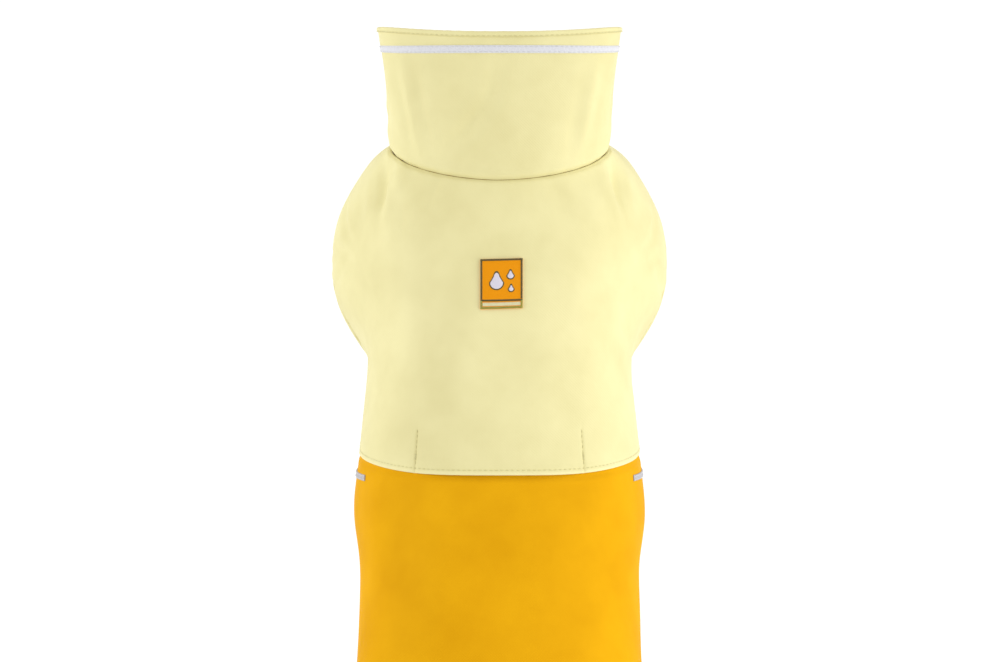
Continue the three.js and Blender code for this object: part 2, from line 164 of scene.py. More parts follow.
@dataclass(frozen=True)
class Body(Surface):
    """The body of the coat: row is a ring number and column an angle, 90 on the back."""

    neck_roundness: float = 1.75
    body_roundness: float = 2.35
    blend_rings: float = 1.5
    narrowing: float = 0.07
    shoulder_y: float = 17
    shoulder_z: float = -116
    shoulder_front: float = 77
    shoulder_rear: float = 45
    shoulder_tall: float = 62
    shoulder_out: float = 26.5
    shoulder_fade: float = 0.6
    front_power: float = 2.6
    rear_power: float = 2.9
    tall_power: float = 2.2

    def ring_values(self, ring: np.ndarray) -> np.ndarray:
        """Values of a ring, as a uniform Catmull-Rom curve through RINGS.

        Args:
            ring: Ring numbers, with fractions.

        Returns:
            Array with back_y, back_z, belly_y, belly_z and half on its last axis.
        """
        table = np.array([[r.back_y, r.back_z, r.belly_y, r.belly_z, r.half] for r in RINGS])
        start = np.clip(np.floor(ring).astype(int), 0, LAST_RING - 1)
        t = (ring - start)[..., None]
        a, b, c, d = (table[np.clip(start + k, 0, LAST_RING)] for k in (-1, 0, 1, 2))
        cubic = (3 * b - a - 3 * c + d) * t**3
        return 0.5 * (2 * b + (c - a) * t + (2 * a - 5 * b + 4 * c - d) * t * t + cubic)

    def roundness(self, ring: np.ndarray) -> np.ndarray:
        """Roundness of a ring: 2 would be an ellipse, and more is boxier."""
        grown = smooth(ring, 0, self.blend_rings)
        return self.neck_roundness + (self.body_roundness - self.neck_roundness) * grown

    def fullness(self, y: np.ndarray, z: np.ndarray) -> np.ndarray:
        """How far the shoulder pushes a side-view point outwards."""
        ahead = y > self.shoulder_y
        reach = np.where(ahead, self.shoulder_front, self.shoulder_rear)
        power = np.where(ahead, self.front_power, self.rear_power)
        along = np.abs((y - self.shoulder_y) / reach) ** power
        up = np.abs((z - self.shoulder_z) / self.shoulder_tall) ** self.tall_power
        return self.shoulder_out * np.exp(-along - up)

    def fold_depth(self, ring: np.ndarray, angle: np.ndarray) -> np.ndarray:
        """Depth of the broad folds."""
        depth = np.zeros(np.broadcast(ring, angle).shape)
        for f in FOLDS:
            along = (ring - f.ring) / f.length
            across = (angle - f.angle - f.slant * (ring - f.ring)) / f.width
            depth = depth + f.depth * np.exp(-along * along - across * across)
        return depth

    def point(self, row: np.ndarray, column: np.ndarray) -> np.ndarray:
        """Point of the body's outer surface."""
        row, column = np.broadcast_arrays(np.asarray(row, float), np.asarray(column, float))
        v = self.ring_values(row)
        cosine = np.cos(np.radians(column))
        power = 2 / self.roundness(row)
        bend = signed_power(np.sin(np.radians(column)), power)
        y = (v[..., 0] + v[..., 2]) / 2 + (v[..., 0] - v[..., 2]) / 2 * bend
        z = (v[..., 1] + v[..., 3]) / 2 + (v[..., 1] - v[..., 3]) / 2 * bend
        x = v[..., 4] * (1 + self.narrowing * bend) * signed_power(cosine, power)
        x = x + self.fullness(y, z) * signed_power(cosine, self.shoulder_fade)
        x = x - self.fold_depth(row, column) * cosine
        return np.stack([x, y, z], axis=-1)

    def side_place(self, y: np.ndarray, z: np.ndarray) -> tuple[np.ndarray, np.ndarray]:
        """Ring number and angle of the right side's points with these side views."""
        y, z = np.broadcast_arrays(np.asarray(y, float), np.asarray(z, float))
        low = np.zeros(y.shape)
        high = np.full(y.shape, float(LAST_RING))
        for _ in range(40):
            middle = (low + high) / 2
            v = self.ring_values(middle)
            lean = (v[..., 2] - v[..., 0]) * (z - v[..., 1]) - (v[..., 3] - v[..., 1]) * (y - v[..., 0])
            low = np.where(lean < 0, middle, low)
            high = np.where(lean < 0, high, middle)
        v = self.ring_values(low)
        axis = (v[..., 0:2] - v[..., 2:4]) / 2
        offset = np.stack([y, z], axis=-1) - (v[..., 0:2] + v[..., 2:4]) / 2
        share = np.sum(offset * axis, axis=-1) / np.sum(axis * axis, axis=-1)
        sine = signed_power(np.clip(share, -1, 1), self.roundness(low) / 2)
        return low, np.degrees(np.arcsin(sine))


BODY = Body()


@dataclass(frozen=True)
class YokeHem:
    """The yoke's hem line: a ring on the back, curving forward down the sides."""

    ring: float = 5.0
    forward_rings: float = 0.135
    start_angle: float = 15.0
    end_angle: float = 95.0

    def at(self, angle: np.ndarray) -> np.ndarray:
        """Ring of the hem at an angle round the body."""
        turn = smooth(np.abs(angle - 90), self.start_angle, self.end_angle)
        return self.ring - self.forward_rings * turn


YOKE_HEM_LINE = YokeHem()


@dataclass(frozen=True)
class CollarForm(Surface):
    """The collar: row is the distance down from the rim in mm, column an angle."""

    back_y: float = 112.5
    back_z: float = 52
    throat_y: float = 157
    throat_z: float = -47
    half: float = 78
    sides_up: float = 4.5
    rise: float = 27
    roundness: float = 2.3
    length: float = 80
    waist: float = 0.015
    row_step: float = 0.05

    def point(self, row: np.ndarray, column: np.ndarray) -> np.ndarray:
        """Point of the collar's outer surface."""
        row, column = np.broadcast_arrays(np.asarray(row, float), np.asarray(column, float))
        height = 1 - row / self.length
        seam = BODY.point(np.zeros(row.shape), column)
        cosine = np.cos(np.radians(column))
        bend = signed_power(np.sin(np.radians(column)), 2 / self.roundness)
        raised = self.sides_up * cosine * cosine
        rise = math.radians(self.rise)
        rim = np.stack([
            self.half * signed_power(cosine, 2 / self.roundness),
            (self.back_y + self.throat_y) / 2 + (self.back_y - self.throat_y) / 2 * bend
            + raised * math.cos(rise),
            (self.back_z + self.throat_z) / 2 + (self.back_z - self.throat_z) / 2 * bend
            + raised * math.sin(rise),
        ], axis=-1)
        point = seam + (rim - seam) * height[..., None]
        point[..., 0] *= 1 - self.waist * np.sin(np.pi * height) * np.abs(cosine)
        return point


COLLAR = CollarForm()


@dataclass(frozen=True)
class Armhole:
    """The armhole, an ellipse in the side view, in mm."""

    y: float = 20
    z: float = -156
    half_y: float = 45
    half_z: float = 51
    seam: float = 0.35


ARMHOLE = Armhole()


@dataclass(frozen=True)
class SleeveForm(Surface):
    """The right sleeve: row runs 0 at the armhole to 1 at the cuff, column turns round it.

    Rows below 0 are the seam allowance, which turns into the body at the armhole.
    """

    length: float = 130
    cuff_x: float = 58
    cuff_y: float = 11
    cuff_z: float = -266
    cuff_half_x: float = 27
    cuff_half_y: float = 37
    column_step: float = 0.5

    def point(self, row: np.ndarray, column: np.ndarray) -> np.ndarray:
        """Point of the sleeve's outer surface; column 0 is in front and 90 outside."""
        row, column = np.broadcast_arrays(np.asarray(row, float), np.asarray(column, float))
        c = np.cos(np.radians(column))
        s = np.sin(np.radians(column))
        ring, angle = BODY.side_place(
            ARMHOLE.y + (ARMHOLE.half_y - ARMHOLE.seam) * c,
            ARMHOLE.z + (ARMHOLE.half_z - ARMHOLE.seam) * s,
        )
        start = BODY.point(ring, angle)
        end = np.stack([
            self.cuff_x + self.cuff_half_x * s,
            self.cuff_y + self.cuff_half_y * c,
            np.full(c.shape, self.cuff_z),
        ], axis=-1)
        third = np.linalg.norm(end - start, axis=-1, keepdims=True) / 3 * np.array([0, 0, -1.0])
        t = np.maximum(row, 0)[..., None]
        near = start * (1 - t) ** 3 + (start + third) * 3 * t * (1 - t) ** 2
        turned_in = BODY.normal(ring, angle) * np.minimum(row, 0)[..., None] * self.length
        return near + (end - third) * 3 * t * t * (1 - t) + end * t**3 + turned_in


SLEEVE = SleeveForm()


# Creases


@dataclass(frozen=True)
class Crease:
    """A soft trough in the cloth, or a ridge where its depth is negative.

    Row and column place its middle on its surface. Length and width are half sizes in mm,
    turn is its heading in degrees from the way down the rows, and bend is how far its ends
    curve aside in mm. A lower power makes a crisper line.
    """

    row: float
    column: float
    length: float
    width: float
    depth: float
    turn: float = 0
    bend: float = 0
    power: float = 1.6


BODY_CREASES: tuple[Crease, ...] = (
    # Troughs that run back over both shoulders, each with a small ridge inside it
    Crease(row=1.05, column=153, length=21, width=3.4, depth=1.2, turn=35, bend=-2, power=1.2),
    Crease(row=0.95, column=153, length=15, width=8.5, depth=3.8, turn=35),
    Crease(row=1.10, column=144, length=11, width=3.6, depth=-0.9, turn=36, bend=-2),
    Crease(row=1.25, column=133, length=15, width=6.0, depth=1.0, turn=38, bend=-3),
    Crease(row=0.95, column=26, length=19, width=3.4, depth=1.2, turn=-30, bend=2, power=1.2),
    Crease(row=0.95, column=25, length=14, width=7.5, depth=3.3, turn=-30),
    Crease(row=1.12, column=40, length=13, width=7.0, depth=0.6, turn=-29, bend=3),
    Crease(row=0.55, column=122, length=18, width=5.0, depth=0.5, turn=14, bend=3),
    Crease(row=0.50, column=62, length=20, width=5.0, depth=0.4, turn=-10, bend=-3),
    # From the top of each armhole, as the sleeve pulls
    Crease(row=2.00, column=172, length=22, width=3.8, depth=1.4, turn=64, bend=4),
    Crease(row=2.45, column=168, length=18, width=3.4, depth=1.1, turn=84, bend=-3),
    Crease(row=2.90, column=172, length=20, width=3.8, depth=1.2, turn=112, bend=3),
    Crease(row=2.05, column=9, length=20, width=3.6, depth=1.2, turn=-60, bend=-3),
    Crease(row=2.55, column=12, length=19, width=3.6, depth=1.2, turn=-88, bend=3),
    Crease(row=3.00, column=7, length=22, width=4.0, depth=1.1, turn=-116, bend=-4),
    # Behind each sleeve, down the flank
    Crease(row=4.20, column=-14, length=30, width=5.0, depth=1.7, turn=22, bend=6),
    Crease(row=4.45, column=8, length=26, width=6.0, depth=1.1, turn=16, bend=-5),
    Crease(row=4.35, column=-32, length=20, width=4.2, depth=1.3, turn=34, bend=4),
    Crease(row=4.25, column=194, length=32, width=5.2, depth=1.6, turn=-20, bend=-6),
    Crease(row=4.55, column=170, length=24, width=6.0, depth=1.0, turn=-12, bend=5),
    Crease(row=4.30, column=213, length=22, width=4.4, depth=1.2, turn=-36, bend=-4),
    # Slack of the flanks of the back panel
    Crease(row=6.30, column=-6, length=46, width=6.5, depth=1.5, turn=9, bend=7),
    Crease(row=6.90, column=-26, length=38, width=5.2, depth=1.8, turn=16, bend=-6),
    Crease(row=7.90, column=2, length=44, width=7.5, depth=1.1, turn=-7, bend=-7),
    Crease(row=8.60, column=-20, length=36, width=6.0, depth=1.5, turn=12, bend=6),
    Crease(row=6.40, column=188, length=44, width=6.5, depth=1.6, turn=-11, bend=-7),
    Crease(row=7.00, column=208, length=36, width=5.0, depth=1.7, turn=-18, bend=6),
    Crease(row=8.05, column=179, length=46, width=7.2, depth=1.2, turn=8, bend=7),
    Crease(row=8.75, column=202, length=34, width=6.2, depth=1.4, turn=-10, bend=-5),
    # Faint long undulations on the top of the back panel
    Crease(row=6.70, column=124, length=62, width=13.0, depth=0.55, turn=4, bend=8),
    Crease(row=7.40, column=66, length=66, width=14.0, depth=0.45, turn=-5, bend=-8),
    Crease(row=8.70, column=104, length=54, width=13.0, depth=0.5, turn=8, bend=6),
    # And on the yoke
    Crease(row=3.10, column=112, length=52, width=12.0, depth=0.5, turn=-6, bend=7),
    Crease(row=3.70, column=66, length=46, width=11.0, depth=0.4, turn=7, bend=-6),
    # The chest and the belly
    Crease(row=1.15, column=-62, length=28, width=4.6, depth=1.5, turn=38, bend=-5),
    Crease(row=1.20, column=-118, length=30, width=4.6, depth=1.5, turn=-36, bend=5),
    Crease(row=0.60, column=-88, length=24, width=5.0, depth=1.3, turn=84, bend=7),
    Crease(row=1.55, column=-93, length=26, width=5.6, depth=1.1, turn=96, bend=8),
    Crease(row=3.40, column=-68, length=34, width=5.2, depth=1.4, turn=-16, bend=5),
    Crease(row=3.55, column=-114, length=36, width=5.4, depth=1.4, turn=14, bend=-5),
    Crease(row=5.40, column=-80, length=42, width=7.0, depth=1.2, turn=7, bend=6),
    Crease(row=5.80, column=-104, length=38, width=6.4, depth=1.2, turn=-9, bend=-6),
)

COLLAR_CREASES: tuple[Crease, ...] = (
    # Ridges between the flat faces of its back, and the hollows between them
    Crease(row=47, column=138, length=33, width=5.0, depth=-2.1, turn=8, power=1.15),
    Crease(row=26, column=92, length=17, width=5.0, depth=1.5, turn=-11, power=1.15),
    Crease(row=50, column=104, length=22, width=5.0, depth=1.7, turn=-43, bend=-2, power=1.15),
    Crease(row=48, column=41, length=28, width=5.0, depth=-1.6, turn=-7, power=1.15),
    Crease(row=42, column=103, length=32, width=14.0, depth=1.8, turn=-18, bend=3),
    Crease(row=46, column=53, length=28, width=11.0, depth=0.5, turn=12, bend=-3),
    # And round its sides and throat
    Crease(row=40, column=176, length=30, width=7.0, depth=1.1, turn=10, bend=6),
    Crease(row=44, column=6, length=28, width=7.0, depth=1.0, turn=-12, bend=-6),
    Crease(row=56, column=214, length=26, width=5.0, depth=1.6, turn=64, bend=5),
    Crease(row=54, column=-36, length=26, width=5.0, depth=1.5, turn=-62, bend=-5),
    Crease(row=48, column=262, length=30, width=5.4, depth=1.8, turn=88, bend=6),
    Crease(row=64, column=276, length=26, width=4.6, depth=1.6, turn=94, bend=-5),
)

RIGHT_SLEEVE_CREASES: tuple[Crease, ...] = (
    Crease(row=0.42, column=150, length=24, width=4.0, depth=1.5, turn=58, bend=5),
    Crease(row=0.62, column=168, length=24, width=4.2, depth=1.7, turn=72, bend=-4),
    Crease(row=0.55, column=36, length=20, width=4.0, depth=1.3, turn=-62, bend=-5),
    Crease(row=0.74, column=20, length=22, width=3.8, depth=1.4, turn=-78, bend=4),
    Crease(row=0.30, column=96, length=26, width=7.0, depth=1.0, turn=12, bend=4),
    Crease(row=0.80, column=108, length=18, width=5.0, depth=1.0, turn=86, bend=4),
    Crease(row=0.55, column=262, length=20, width=4.0, depth=1.4, turn=80, bend=5),
    Crease(row=0.76, column=300, length=18, width=3.8, depth=1.2, turn=100, bend=-4),
)

LEFT_SLEEVE_CREASES: tuple[Crease, ...] = (
    Crease(row=0.46, column=142, length=26, width=4.4, depth=1.6, turn=52, bend=-5),
    Crease(row=0.66, column=172, length=22, width=4.0, depth=1.5, turn=80, bend=4),
    Crease(row=0.50, column=30, length=22, width=4.2, depth=1.4, turn=-56, bend=5),
    Crease(row=0.70, column=14, length=20, width=3.6, depth=1.3, turn=-84, bend=-4),
    Crease(row=0.34, column=84, length=24, width=7.5, depth=0.9, turn=-10, bend=-4),
    Crease(row=0.84, column=92, length=20, width=5.0, depth=1.1, turn=94, bend=-4),
    Crease(row=0.58, column=270, length=18, width=4.0, depth=1.3, turn=96, bend=4),
    Crease(row=0.80, column=242, length=18, width=3.8, depth=1.2, turn=78, bend=4),
)


@dataclass(frozen=True)
class Swell:
    """A faint even wave of the cloth: wavelengths along x, y and z in mm."""

    x: float
    y: float
    z: float
    height: float
    phase: float


SWELLS: tuple[Swell, ...] = (
    Swell(x=92, y=210, z=130, height=0.20, phase=0.4),
    Swell(x=-64, y=150, z=170, height=0.14, phase=2.1),
    Swell(x=180, y=-74, z=110, height=0.16, phase=4.0),
    Swell(x=120, y=58, z=-84, height=0.10, phase=1.3),
    Swell(x=-46, y=-52, z=60, height=0.06, phase=5.2),
)


def crease_relief(points: np.ndarray, creases: Sequence[Crease], surface: Surface) -> np.ndarray:
    """Height of the creases and swells above a smooth surface.

    Args:
        points: Points of the smooth surface, in mm.
        creases: The creases placed on that surface.
        surface: The surface that the creases' rows and columns belong to.

    Returns:
        Height along the outward normal at each point, in mm.
    """
    height = np.zeros(points.shape[:-1])
    for c in creases:
        row, column = np.array(c.row), np.array(c.column)
        centre = surface.point(row, column)
        down, over = surface.slopes(row, column)
        normal = unit(np.cross(over, down))
        down = unit(down)
        turn = math.radians(c.turn)
        heading = down * math.cos(turn) + np.cross(normal, down) * math.sin(turn)
        offset = points - centre
        along = offset @ heading / c.length
        across = (offset @ np.cross(normal, heading) - c.bend * along * along) / c.width
        depth = offset @ normal / (2.5 * c.width + 22)
        trough = np.exp(-np.abs(across) ** c.power) - 0.42 * np.exp(-((np.abs(across) - 1.75) ** 2) / 0.7)
        height = height - c.depth * trough * np.exp(-np.abs(along) ** 2.6 - depth**2)
    for s in SWELLS:
        wave = 2 * np.pi * (points[..., 0] / s.x + points[..., 1] / s.y + points[..., 2] / s.z)
        height = height + s.height * np.sin(wave + s.phase)
    return height


# Hems and seams


@dataclass(frozen=True)
class HemStyle:
    """A turned hem: its band, its line of stitching and its puckers, in mm."""

    band: float = 8.0
    raised: float = 0.3
    stitch: float = 6.5
    groove: float = 0.35
    pucker: float = 0.28
    pucker_pitch: float = 11.0
    roll: float = 0.45

    def height(self, inward: np.ndarray, along: np.ndarray) -> np.ndarray:
        """Relief at a distance inward from the edge and along it."""
        height = self.raised * (1 - smooth(inward, self.band, self.band + 1.5))
        height = height - self.groove * np.exp(-(((inward - self.stitch) / 0.9) ** 2))
        pitch = 2 * np.pi / self.pucker_pitch
        wave = np.sin(along * pitch + 1.4 * np.sin(along / 23)) * (0.7 + 0.3 * np.sin(along / 41))
        height = height + self.pucker * wave * np.exp(-(((inward - self.stitch * 0.75) / 5.5) ** 2))
        return height - self.roll * np.clip(1 - inward / 1.0, 0, 1) ** 2


@dataclass(frozen=True)
class SeamStyle:
    """A sewn seam: the cloth dips into it, and its allowance lifts the cloth beside it."""

    dip: float = 0.7
    dip_width: float = 1.1
    lift: float = 0.25
    pucker: float = 0.16
    pucker_pitch: float = 13.0

    def height(self, inward: np.ndarray, along: np.ndarray) -> np.ndarray:
        """Relief at a distance inward from the seam and along it."""
        height = -self.dip * np.exp(-((inward / self.dip_width) ** 2))
        height = height + self.lift * np.exp(-(((inward - 3.4) / 2.2) ** 2))
        pitch = 2 * np.pi / self.pucker_pitch
        wave = np.sin(along * pitch + 1.1 * np.sin(along / 29))
        return height + self.pucker * wave * np.exp(-((inward / 6) ** 2))


HEM = HemStyle()
YOKE_HEM = HemStyle(band=4.4, raised=0.25, stitch=3.0, groove=0.3, pucker=0.12, pucker_pitch=9.0)
SEAM = SeamStyle()
NECK_SEAM = SeamStyle(dip=1.3, dip_width=1.6, lift=0.2, pucker=0.12)
TUCK_MM = 1.6
TUCK_DROP = 1.5


def stops(start: float, end: float, coarse: float, fine: float, zones: Sequence[tuple[float, float]],
          scale: float = 1.0) -> np.ndarray:
    """Places of a grid's lines, closer together near hems, seams and stitching.

    Args:
        start: First place.
        end: Last place.
        coarse: Usual spacing in mm.
        fine: Spacing in mm inside the zones.
        zones: Middle and half width of each zone, as places.
        scale: Millimetres in one unit of place.

    Returns:
        The places, from start to end.
    """
    places = [start]
    while places[-1] < end:
        here = places[-1]
        apart = min([max(0.0, abs(here - middle) - half) * scale for middle, half in zones] or [99.0])
        step = fine + (coarse - fine) * min(1.0, apart / (3 * coarse))
        places.append(here + step / scale)
    table = np.array(places)
    return start + (table - start) * (end - start) / (table[-1] - start)


# Cloth


@dataclass
class Cloth:
    """A grid of cloth on a surface, with its relief, ready to become a closed shell.

    Attributes:
        surface: The surface that rows and columns belong to.
        row: Row value of each grid point.
        column: Column value of each grid point.
        wraps: Whether the last column is the first one again.
        mirrored: Whether the finished piece is the left copy of a right-hand form.
    """

    surface: Surface
    row: np.ndarray
    column: np.ndarray
    wraps: bool = False
    mirrored: bool = False
    thickness: float = 0.8
    keep: np.ndarray = field(init=False)
    base: np.ndarray = field(init=False)
    normal: np.ndarray = field(init=False)
    relief: np.ndarray = field(init=False)
    shade: np.ndarray = field(init=False)

    def __post_init__(self) -> None:
        """Work out the smooth points, their normals and an empty relief."""
        self.row, self.column = np.broadcast_arrays(self.row, self.column)
        self.row = self.row.astype(float).copy()
        self.column = self.column.astype(float).copy()
        self.keep = np.ones((self.row.shape[0] - 1, self.row.shape[1] - 1), bool)
        self.place()
        self.relief = np.zeros(self.row.shape)
        self.shade = np.zeros(self.row.shape)

    def place(self) -> None:
        """Put the smooth points and normals where rows and columns say."""
        self.base = self.surface.point(self.row, self.column)
        self.normal = self.surface.normal(self.row, self.column)

    @property
    def outer(self) -> np.ndarray:
        """Points of the outside of the cloth, in mm."""
        return self.base + self.normal * self.relief[..., None]

    @property
    def down(self) -> np.ndarray:
        """Distance from the first row, along each column."""
        steps = np.linalg.norm(np.diff(self.base, axis=0), axis=-1)
        return np.concatenate([np.zeros((1, steps.shape[1])), np.cumsum(steps, axis=0)])

    @property
    def up(self) -> np.ndarray:
        """Distance from the last row, along each column."""
        return self.down[-1] - self.down

    @property
    def over(self) -> np.ndarray:
        """Distance from the first column, along each row."""
        steps = np.linalg.norm(np.diff(self.base, axis=1), axis=-1)
        return np.concatenate([np.zeros((steps.shape[0], 1)), np.cumsum(steps, axis=1)], axis=1)

    @property
    def back(self) -> np.ndarray:
        """Distance from the last column, along each row."""
        over = self.over
        return over[:, -1:] - over

    def past_column(self, angle: float) -> np.ndarray:
        """Distance beyond the line at an angle, along each row."""
        over = self.over
        at = np.array([np.interp(angle, columns, way) for columns, way in zip(self.column, over)])
        return over - at[:, None]

    def past_row(self, row: float) -> np.ndarray:
        """Distance beyond the line at a row, along each column."""
        down = self.down
        at = np.array([np.interp(row, rows, way) for rows, way in zip(self.row.T, down.T)])
        return down - at[None, :]

    def tuck(self, past: np.ndarray) -> None:
        """Drop the seam allowance, which lies beyond a seam and under the next piece."""
        self.relief = self.relief - TUCK_DROP * smooth(past, 0, 0.9)

    def crease(self, creases: Sequence[Crease]) -> None:
        """Add soft creases and swells."""
        self.relief = self.relief + crease_relief(self.base, creases, self.surface)

    def paint_shade(self, inward: np.ndarray, width: float = 1.6, amount: float | np.ndarray = 1.0) -> None:
        """Paint shade into the colour along a seam, edge or stitch line, where its groove lies in shadow."""
        self.shade = np.maximum(self.shade, amount * np.exp(-((inward / width) ** 2)))

    def open_armholes(self, grow: float = 0.0) -> None:
        """Cut both armholes: faces inside go, and the points at their edges move onto them."""
        half_y, half_z = ARMHOLE.half_y + grow, ARMHOLE.half_z + grow
        offset_y = (self.base[..., 1] - ARMHOLE.y) / half_y
        offset_z = (self.base[..., 2] - ARMHOLE.z) / half_z
        far = np.hypot(offset_y, offset_z)
        inside = (far < 1) & (np.abs(self.base[..., 0]) > 22)
        corners = [inside[:-1, :-1], inside[:-1, 1:], inside[1:, 1:], inside[1:, :-1]]
        self.keep &= ~np.logical_and.reduce(corners)
        touched = np.zeros(inside.shape, bool)
        for down, over in ((0, 0), (0, 1), (1, 1), (1, 0)):
            rows = slice(down, touched.shape[0] - 1 + down)
            columns = slice(over, touched.shape[1] - 1 + over)
            touched[rows, columns] |= self.keep
        moved = inside & touched
        scale = 1 / np.maximum(far[moved], 1e-6)
        ring, angle = BODY.side_place(
            ARMHOLE.y + offset_y[moved] * scale * half_y,
            ARMHOLE.z + offset_z[moved] * scale * half_z,
        )
        left = self.base[..., 0][moved] < 0
        angle = np.where(left, 180 - angle, angle)
        turns = np.round((self.column[moved] - angle) / 360)
        self.row[moved] = ring
        self.column[moved] = angle + 360 * turns
        self.place()

    def armhole_distance(self) -> np.ndarray:
        """Rough distance outwards from the nearer armhole's edge, in mm."""
        far = np.hypot(
            (self.base[..., 1] - ARMHOLE.y) / ARMHOLE.half_y,
            (self.base[..., 2] - ARMHOLE.z) / ARMHOLE.half_z,
        )
        distance = (far - 1) * (ARMHOLE.half_y + ARMHOLE.half_z) / 2
        return np.where(np.abs(self.base[..., 0]) > 22, distance, 99.0)

    def line(self, row: np.ndarray, column: np.ndarray) -> tuple[np.ndarray, np.ndarray]:
        """Points and normals of the outside along a path of fractional grid indices."""
        i = np.clip(row, 0, self.row.shape[0] - 1.001)
        j = np.clip(column, 0, self.row.shape[1] - 1.001)
        i0, j0 = i.astype(int), j.astype(int)
        fi, fj = (i - i0)[:, None], (j - j0)[:, None]
        outer = self.outer

        def mix(values: np.ndarray) -> np.ndarray:
            near = values[i0, j0] * (1 - fj) + values[i0, j0 + 1] * fj
            far = values[i0 + 1, j0] * (1 - fj) + values[i0 + 1, j0 + 1] * fj
            return near * (1 - fi) + far * fi

        points, normals = mix(outer), unit(mix(self.normal))
        if self.mirrored:
            points, normals = points * (-1, 1, 1), normals * (-1, 1, 1)
        return points, normals

    def row_line(self, distance: float, from_end: bool = True) -> tuple[np.ndarray, np.ndarray]:
        """Path beside the last row, or the first, at a distance in mm."""
        measure = self.up if from_end else self.down
        columns = np.arange(self.row.shape[1])
        rows = np.empty(len(columns))
        index = np.arange(self.row.shape[0])
        for j in columns:
            order = measure[::-1, j] if from_end else measure[:, j]
            places = index[::-1] if from_end else index
            rows[j] = np.interp(distance, order, places)
        return self.line(rows, columns.astype(float))

    def column_line(self, distance: float, from_end: bool) -> tuple[np.ndarray, np.ndarray]:
        """Path beside the last column, or the first, at a distance in mm."""
        measure = self.back if from_end else self.over
        rows = np.arange(self.row.shape[0])
        columns = np.empty(len(rows))
        index = np.arange(self.row.shape[1])
        for i in rows:
            order = measure[i, ::-1] if from_end else measure[i]
            places = index[::-1] if from_end else index
            columns[i] = np.interp(distance, order, places)
        return self.line(rows.astype(float), columns)

    def build(self, name: str) -> bpy.types.Object:
        """Make the closed shell.

        Args:
            name: Name of the piece.

        Returns:
            The new object, with a weave UV map in metres and the attributes seam_shade and
            lining_side.
        """
        outer = self.outer
        inner = self.base + self.normal * (self.relief * 0.9 - self.thickness)[..., None]
        over, down = self.over, self.down
        middle = over.shape[1] // 2
        u = (over - over[:, middle:middle + 1]) * MM
        v = down * MM
        if self.mirrored:
            outer, inner = outer * (-1, 1, 1), inner * (-1, 1, 1)
        rows, columns = self.row.shape
        used_columns = columns - 1 if self.wraps else columns
        faces, face_uv = [], []
        for i, j in zip(*np.nonzero(self.keep)):
            corners = [(i, j), (i, j + 1), (i + 1, j + 1), (i + 1, j)]
            if self.mirrored:
                corners = corners[::-1]
            faces.append([r * used_columns + c % used_columns for r, c in corners])
            face_uv.append([(u[r, c], v[r, c]) for r, c in corners])
        return shell_object(
            name,
            outer[:, :used_columns].reshape(-1, 3),
            inner[:, :used_columns].reshape(-1, 3),
            faces,
            face_uv,
            self.shade[:, :used_columns].reshape(-1),
        )


def shell_object(name: str, outer: np.ndarray, inner: np.ndarray, faces: list[list[int]],
                 face_uv: list[list[tuple[float, float]]], shade: np.ndarray) -> bpy.types.Object:
    """Closed mesh of an outer skin, an inner skin and the rims that join them.

    Args:
        name: Name of the object.
        outer: Outer points in mm.
        inner: Inner points in mm, one for each outer point.
        faces: Outer faces, as point numbers.
        face_uv: UV of each corner of each face, in metres.
        shade: Painted seam shade of each point, 0 to 1, and below 0 where a highlight is painted.

    Returns:
        The new object.
    """
    count = len(outer)
    uv_at = {}
    edges = set()
    for face, uvs in zip(faces, face_uv):
        for k, start in enumerate(face):
            end = face[(k + 1) % len(face)]
            edges.add((start, end))
            uv_at[(start, end)] = (uvs[k], uvs[(k + 1) % len(face)])
    all_faces = [*faces, *([p + count for p in face[::-1]] for face in faces)]
    all_uv = [*face_uv, *(uvs[::-1] for uvs in face_uv)]
    for start, end in sorted(edges):
        if (end, start) in edges:
            continue
        near, far = uv_at[(start, end)]
        all_faces.append([end, start, start + count, end + count])
        all_uv.append([far, near, near, far])
    used = np.unique(np.array([p for face in all_faces for p in face]))
    renumber = np.zeros(2 * count, int)
    renumber[used] = np.arange(len(used))
    points = np.concatenate([outer, inner])[used] * MM
    mesh = bpy.data.meshes.new(name)
    mesh.from_pydata(points.tolist(), [], [[int(renumber[p]) for p in face] for face in all_faces])
    layer = mesh.uv_layers.new(name="weave")
    layer.data.foreach_set("uv", np.array([uv for uvs in all_uv for uv in uvs], float).reshape(-1))
    seam = mesh.attributes.new("seam_shade", "FLOAT", "POINT")
    seam.data.foreach_set("value", np.concatenate([shade, shade])[used])
    side = mesh.attributes.new("lining_side", "FLOAT", "POINT")
    side.data.foreach_set("value", (used >= count).astype(float))
    mesh.update()
    mesh.validate()
    obj = bpy.data.objects.new(name, mesh)
    bpy.context.collection.objects.link(obj)
    select_only(obj)
    bpy.ops.object.shade_smooth_by_angle(angle=math.radians(50))
    return obj


def select_only(obj: bpy.types.Object) -> None:
    """Deselect everything, then select one object and make it active."""
    bpy.ops.object.select_all(action="DESELECT")
    obj.select_set(True)
    bpy.context.view_layer.objects.active = obj


def edit_some(obj: bpy.types.Object, chosen: Callable[[Vector], bool]) -> None:
    """Enter edit mode with only some of an object's vertices selected."""
    bpy.ops.object.mode_set(mode="EDIT")
    bpy.ops.mesh.select_mode(type="VERT")
    bpy.ops.mesh.select_all(action="DESELECT")
    bpy.ops.object.mode_set(mode="OBJECT")
    for vertex in obj.data.vertices:
        vertex.select = chosen(vertex.co)
    bpy.ops.object.mode_set(mode="EDIT")


# Materials


def linear(hex_colour: str) -> tuple[float, float, float, float]:
    """Linear colour of an sRGB hex value such as F3EEB4."""
    channels = [int(hex_colour[k:k + 2], 16) / 255 for k in (0, 2, 4)]
    bent = [c / 12.92 if c <= 0.04045 else ((c + 0.055) / 1.055) ** 2.4 for c in channels]
    return (*bent, 1.0)


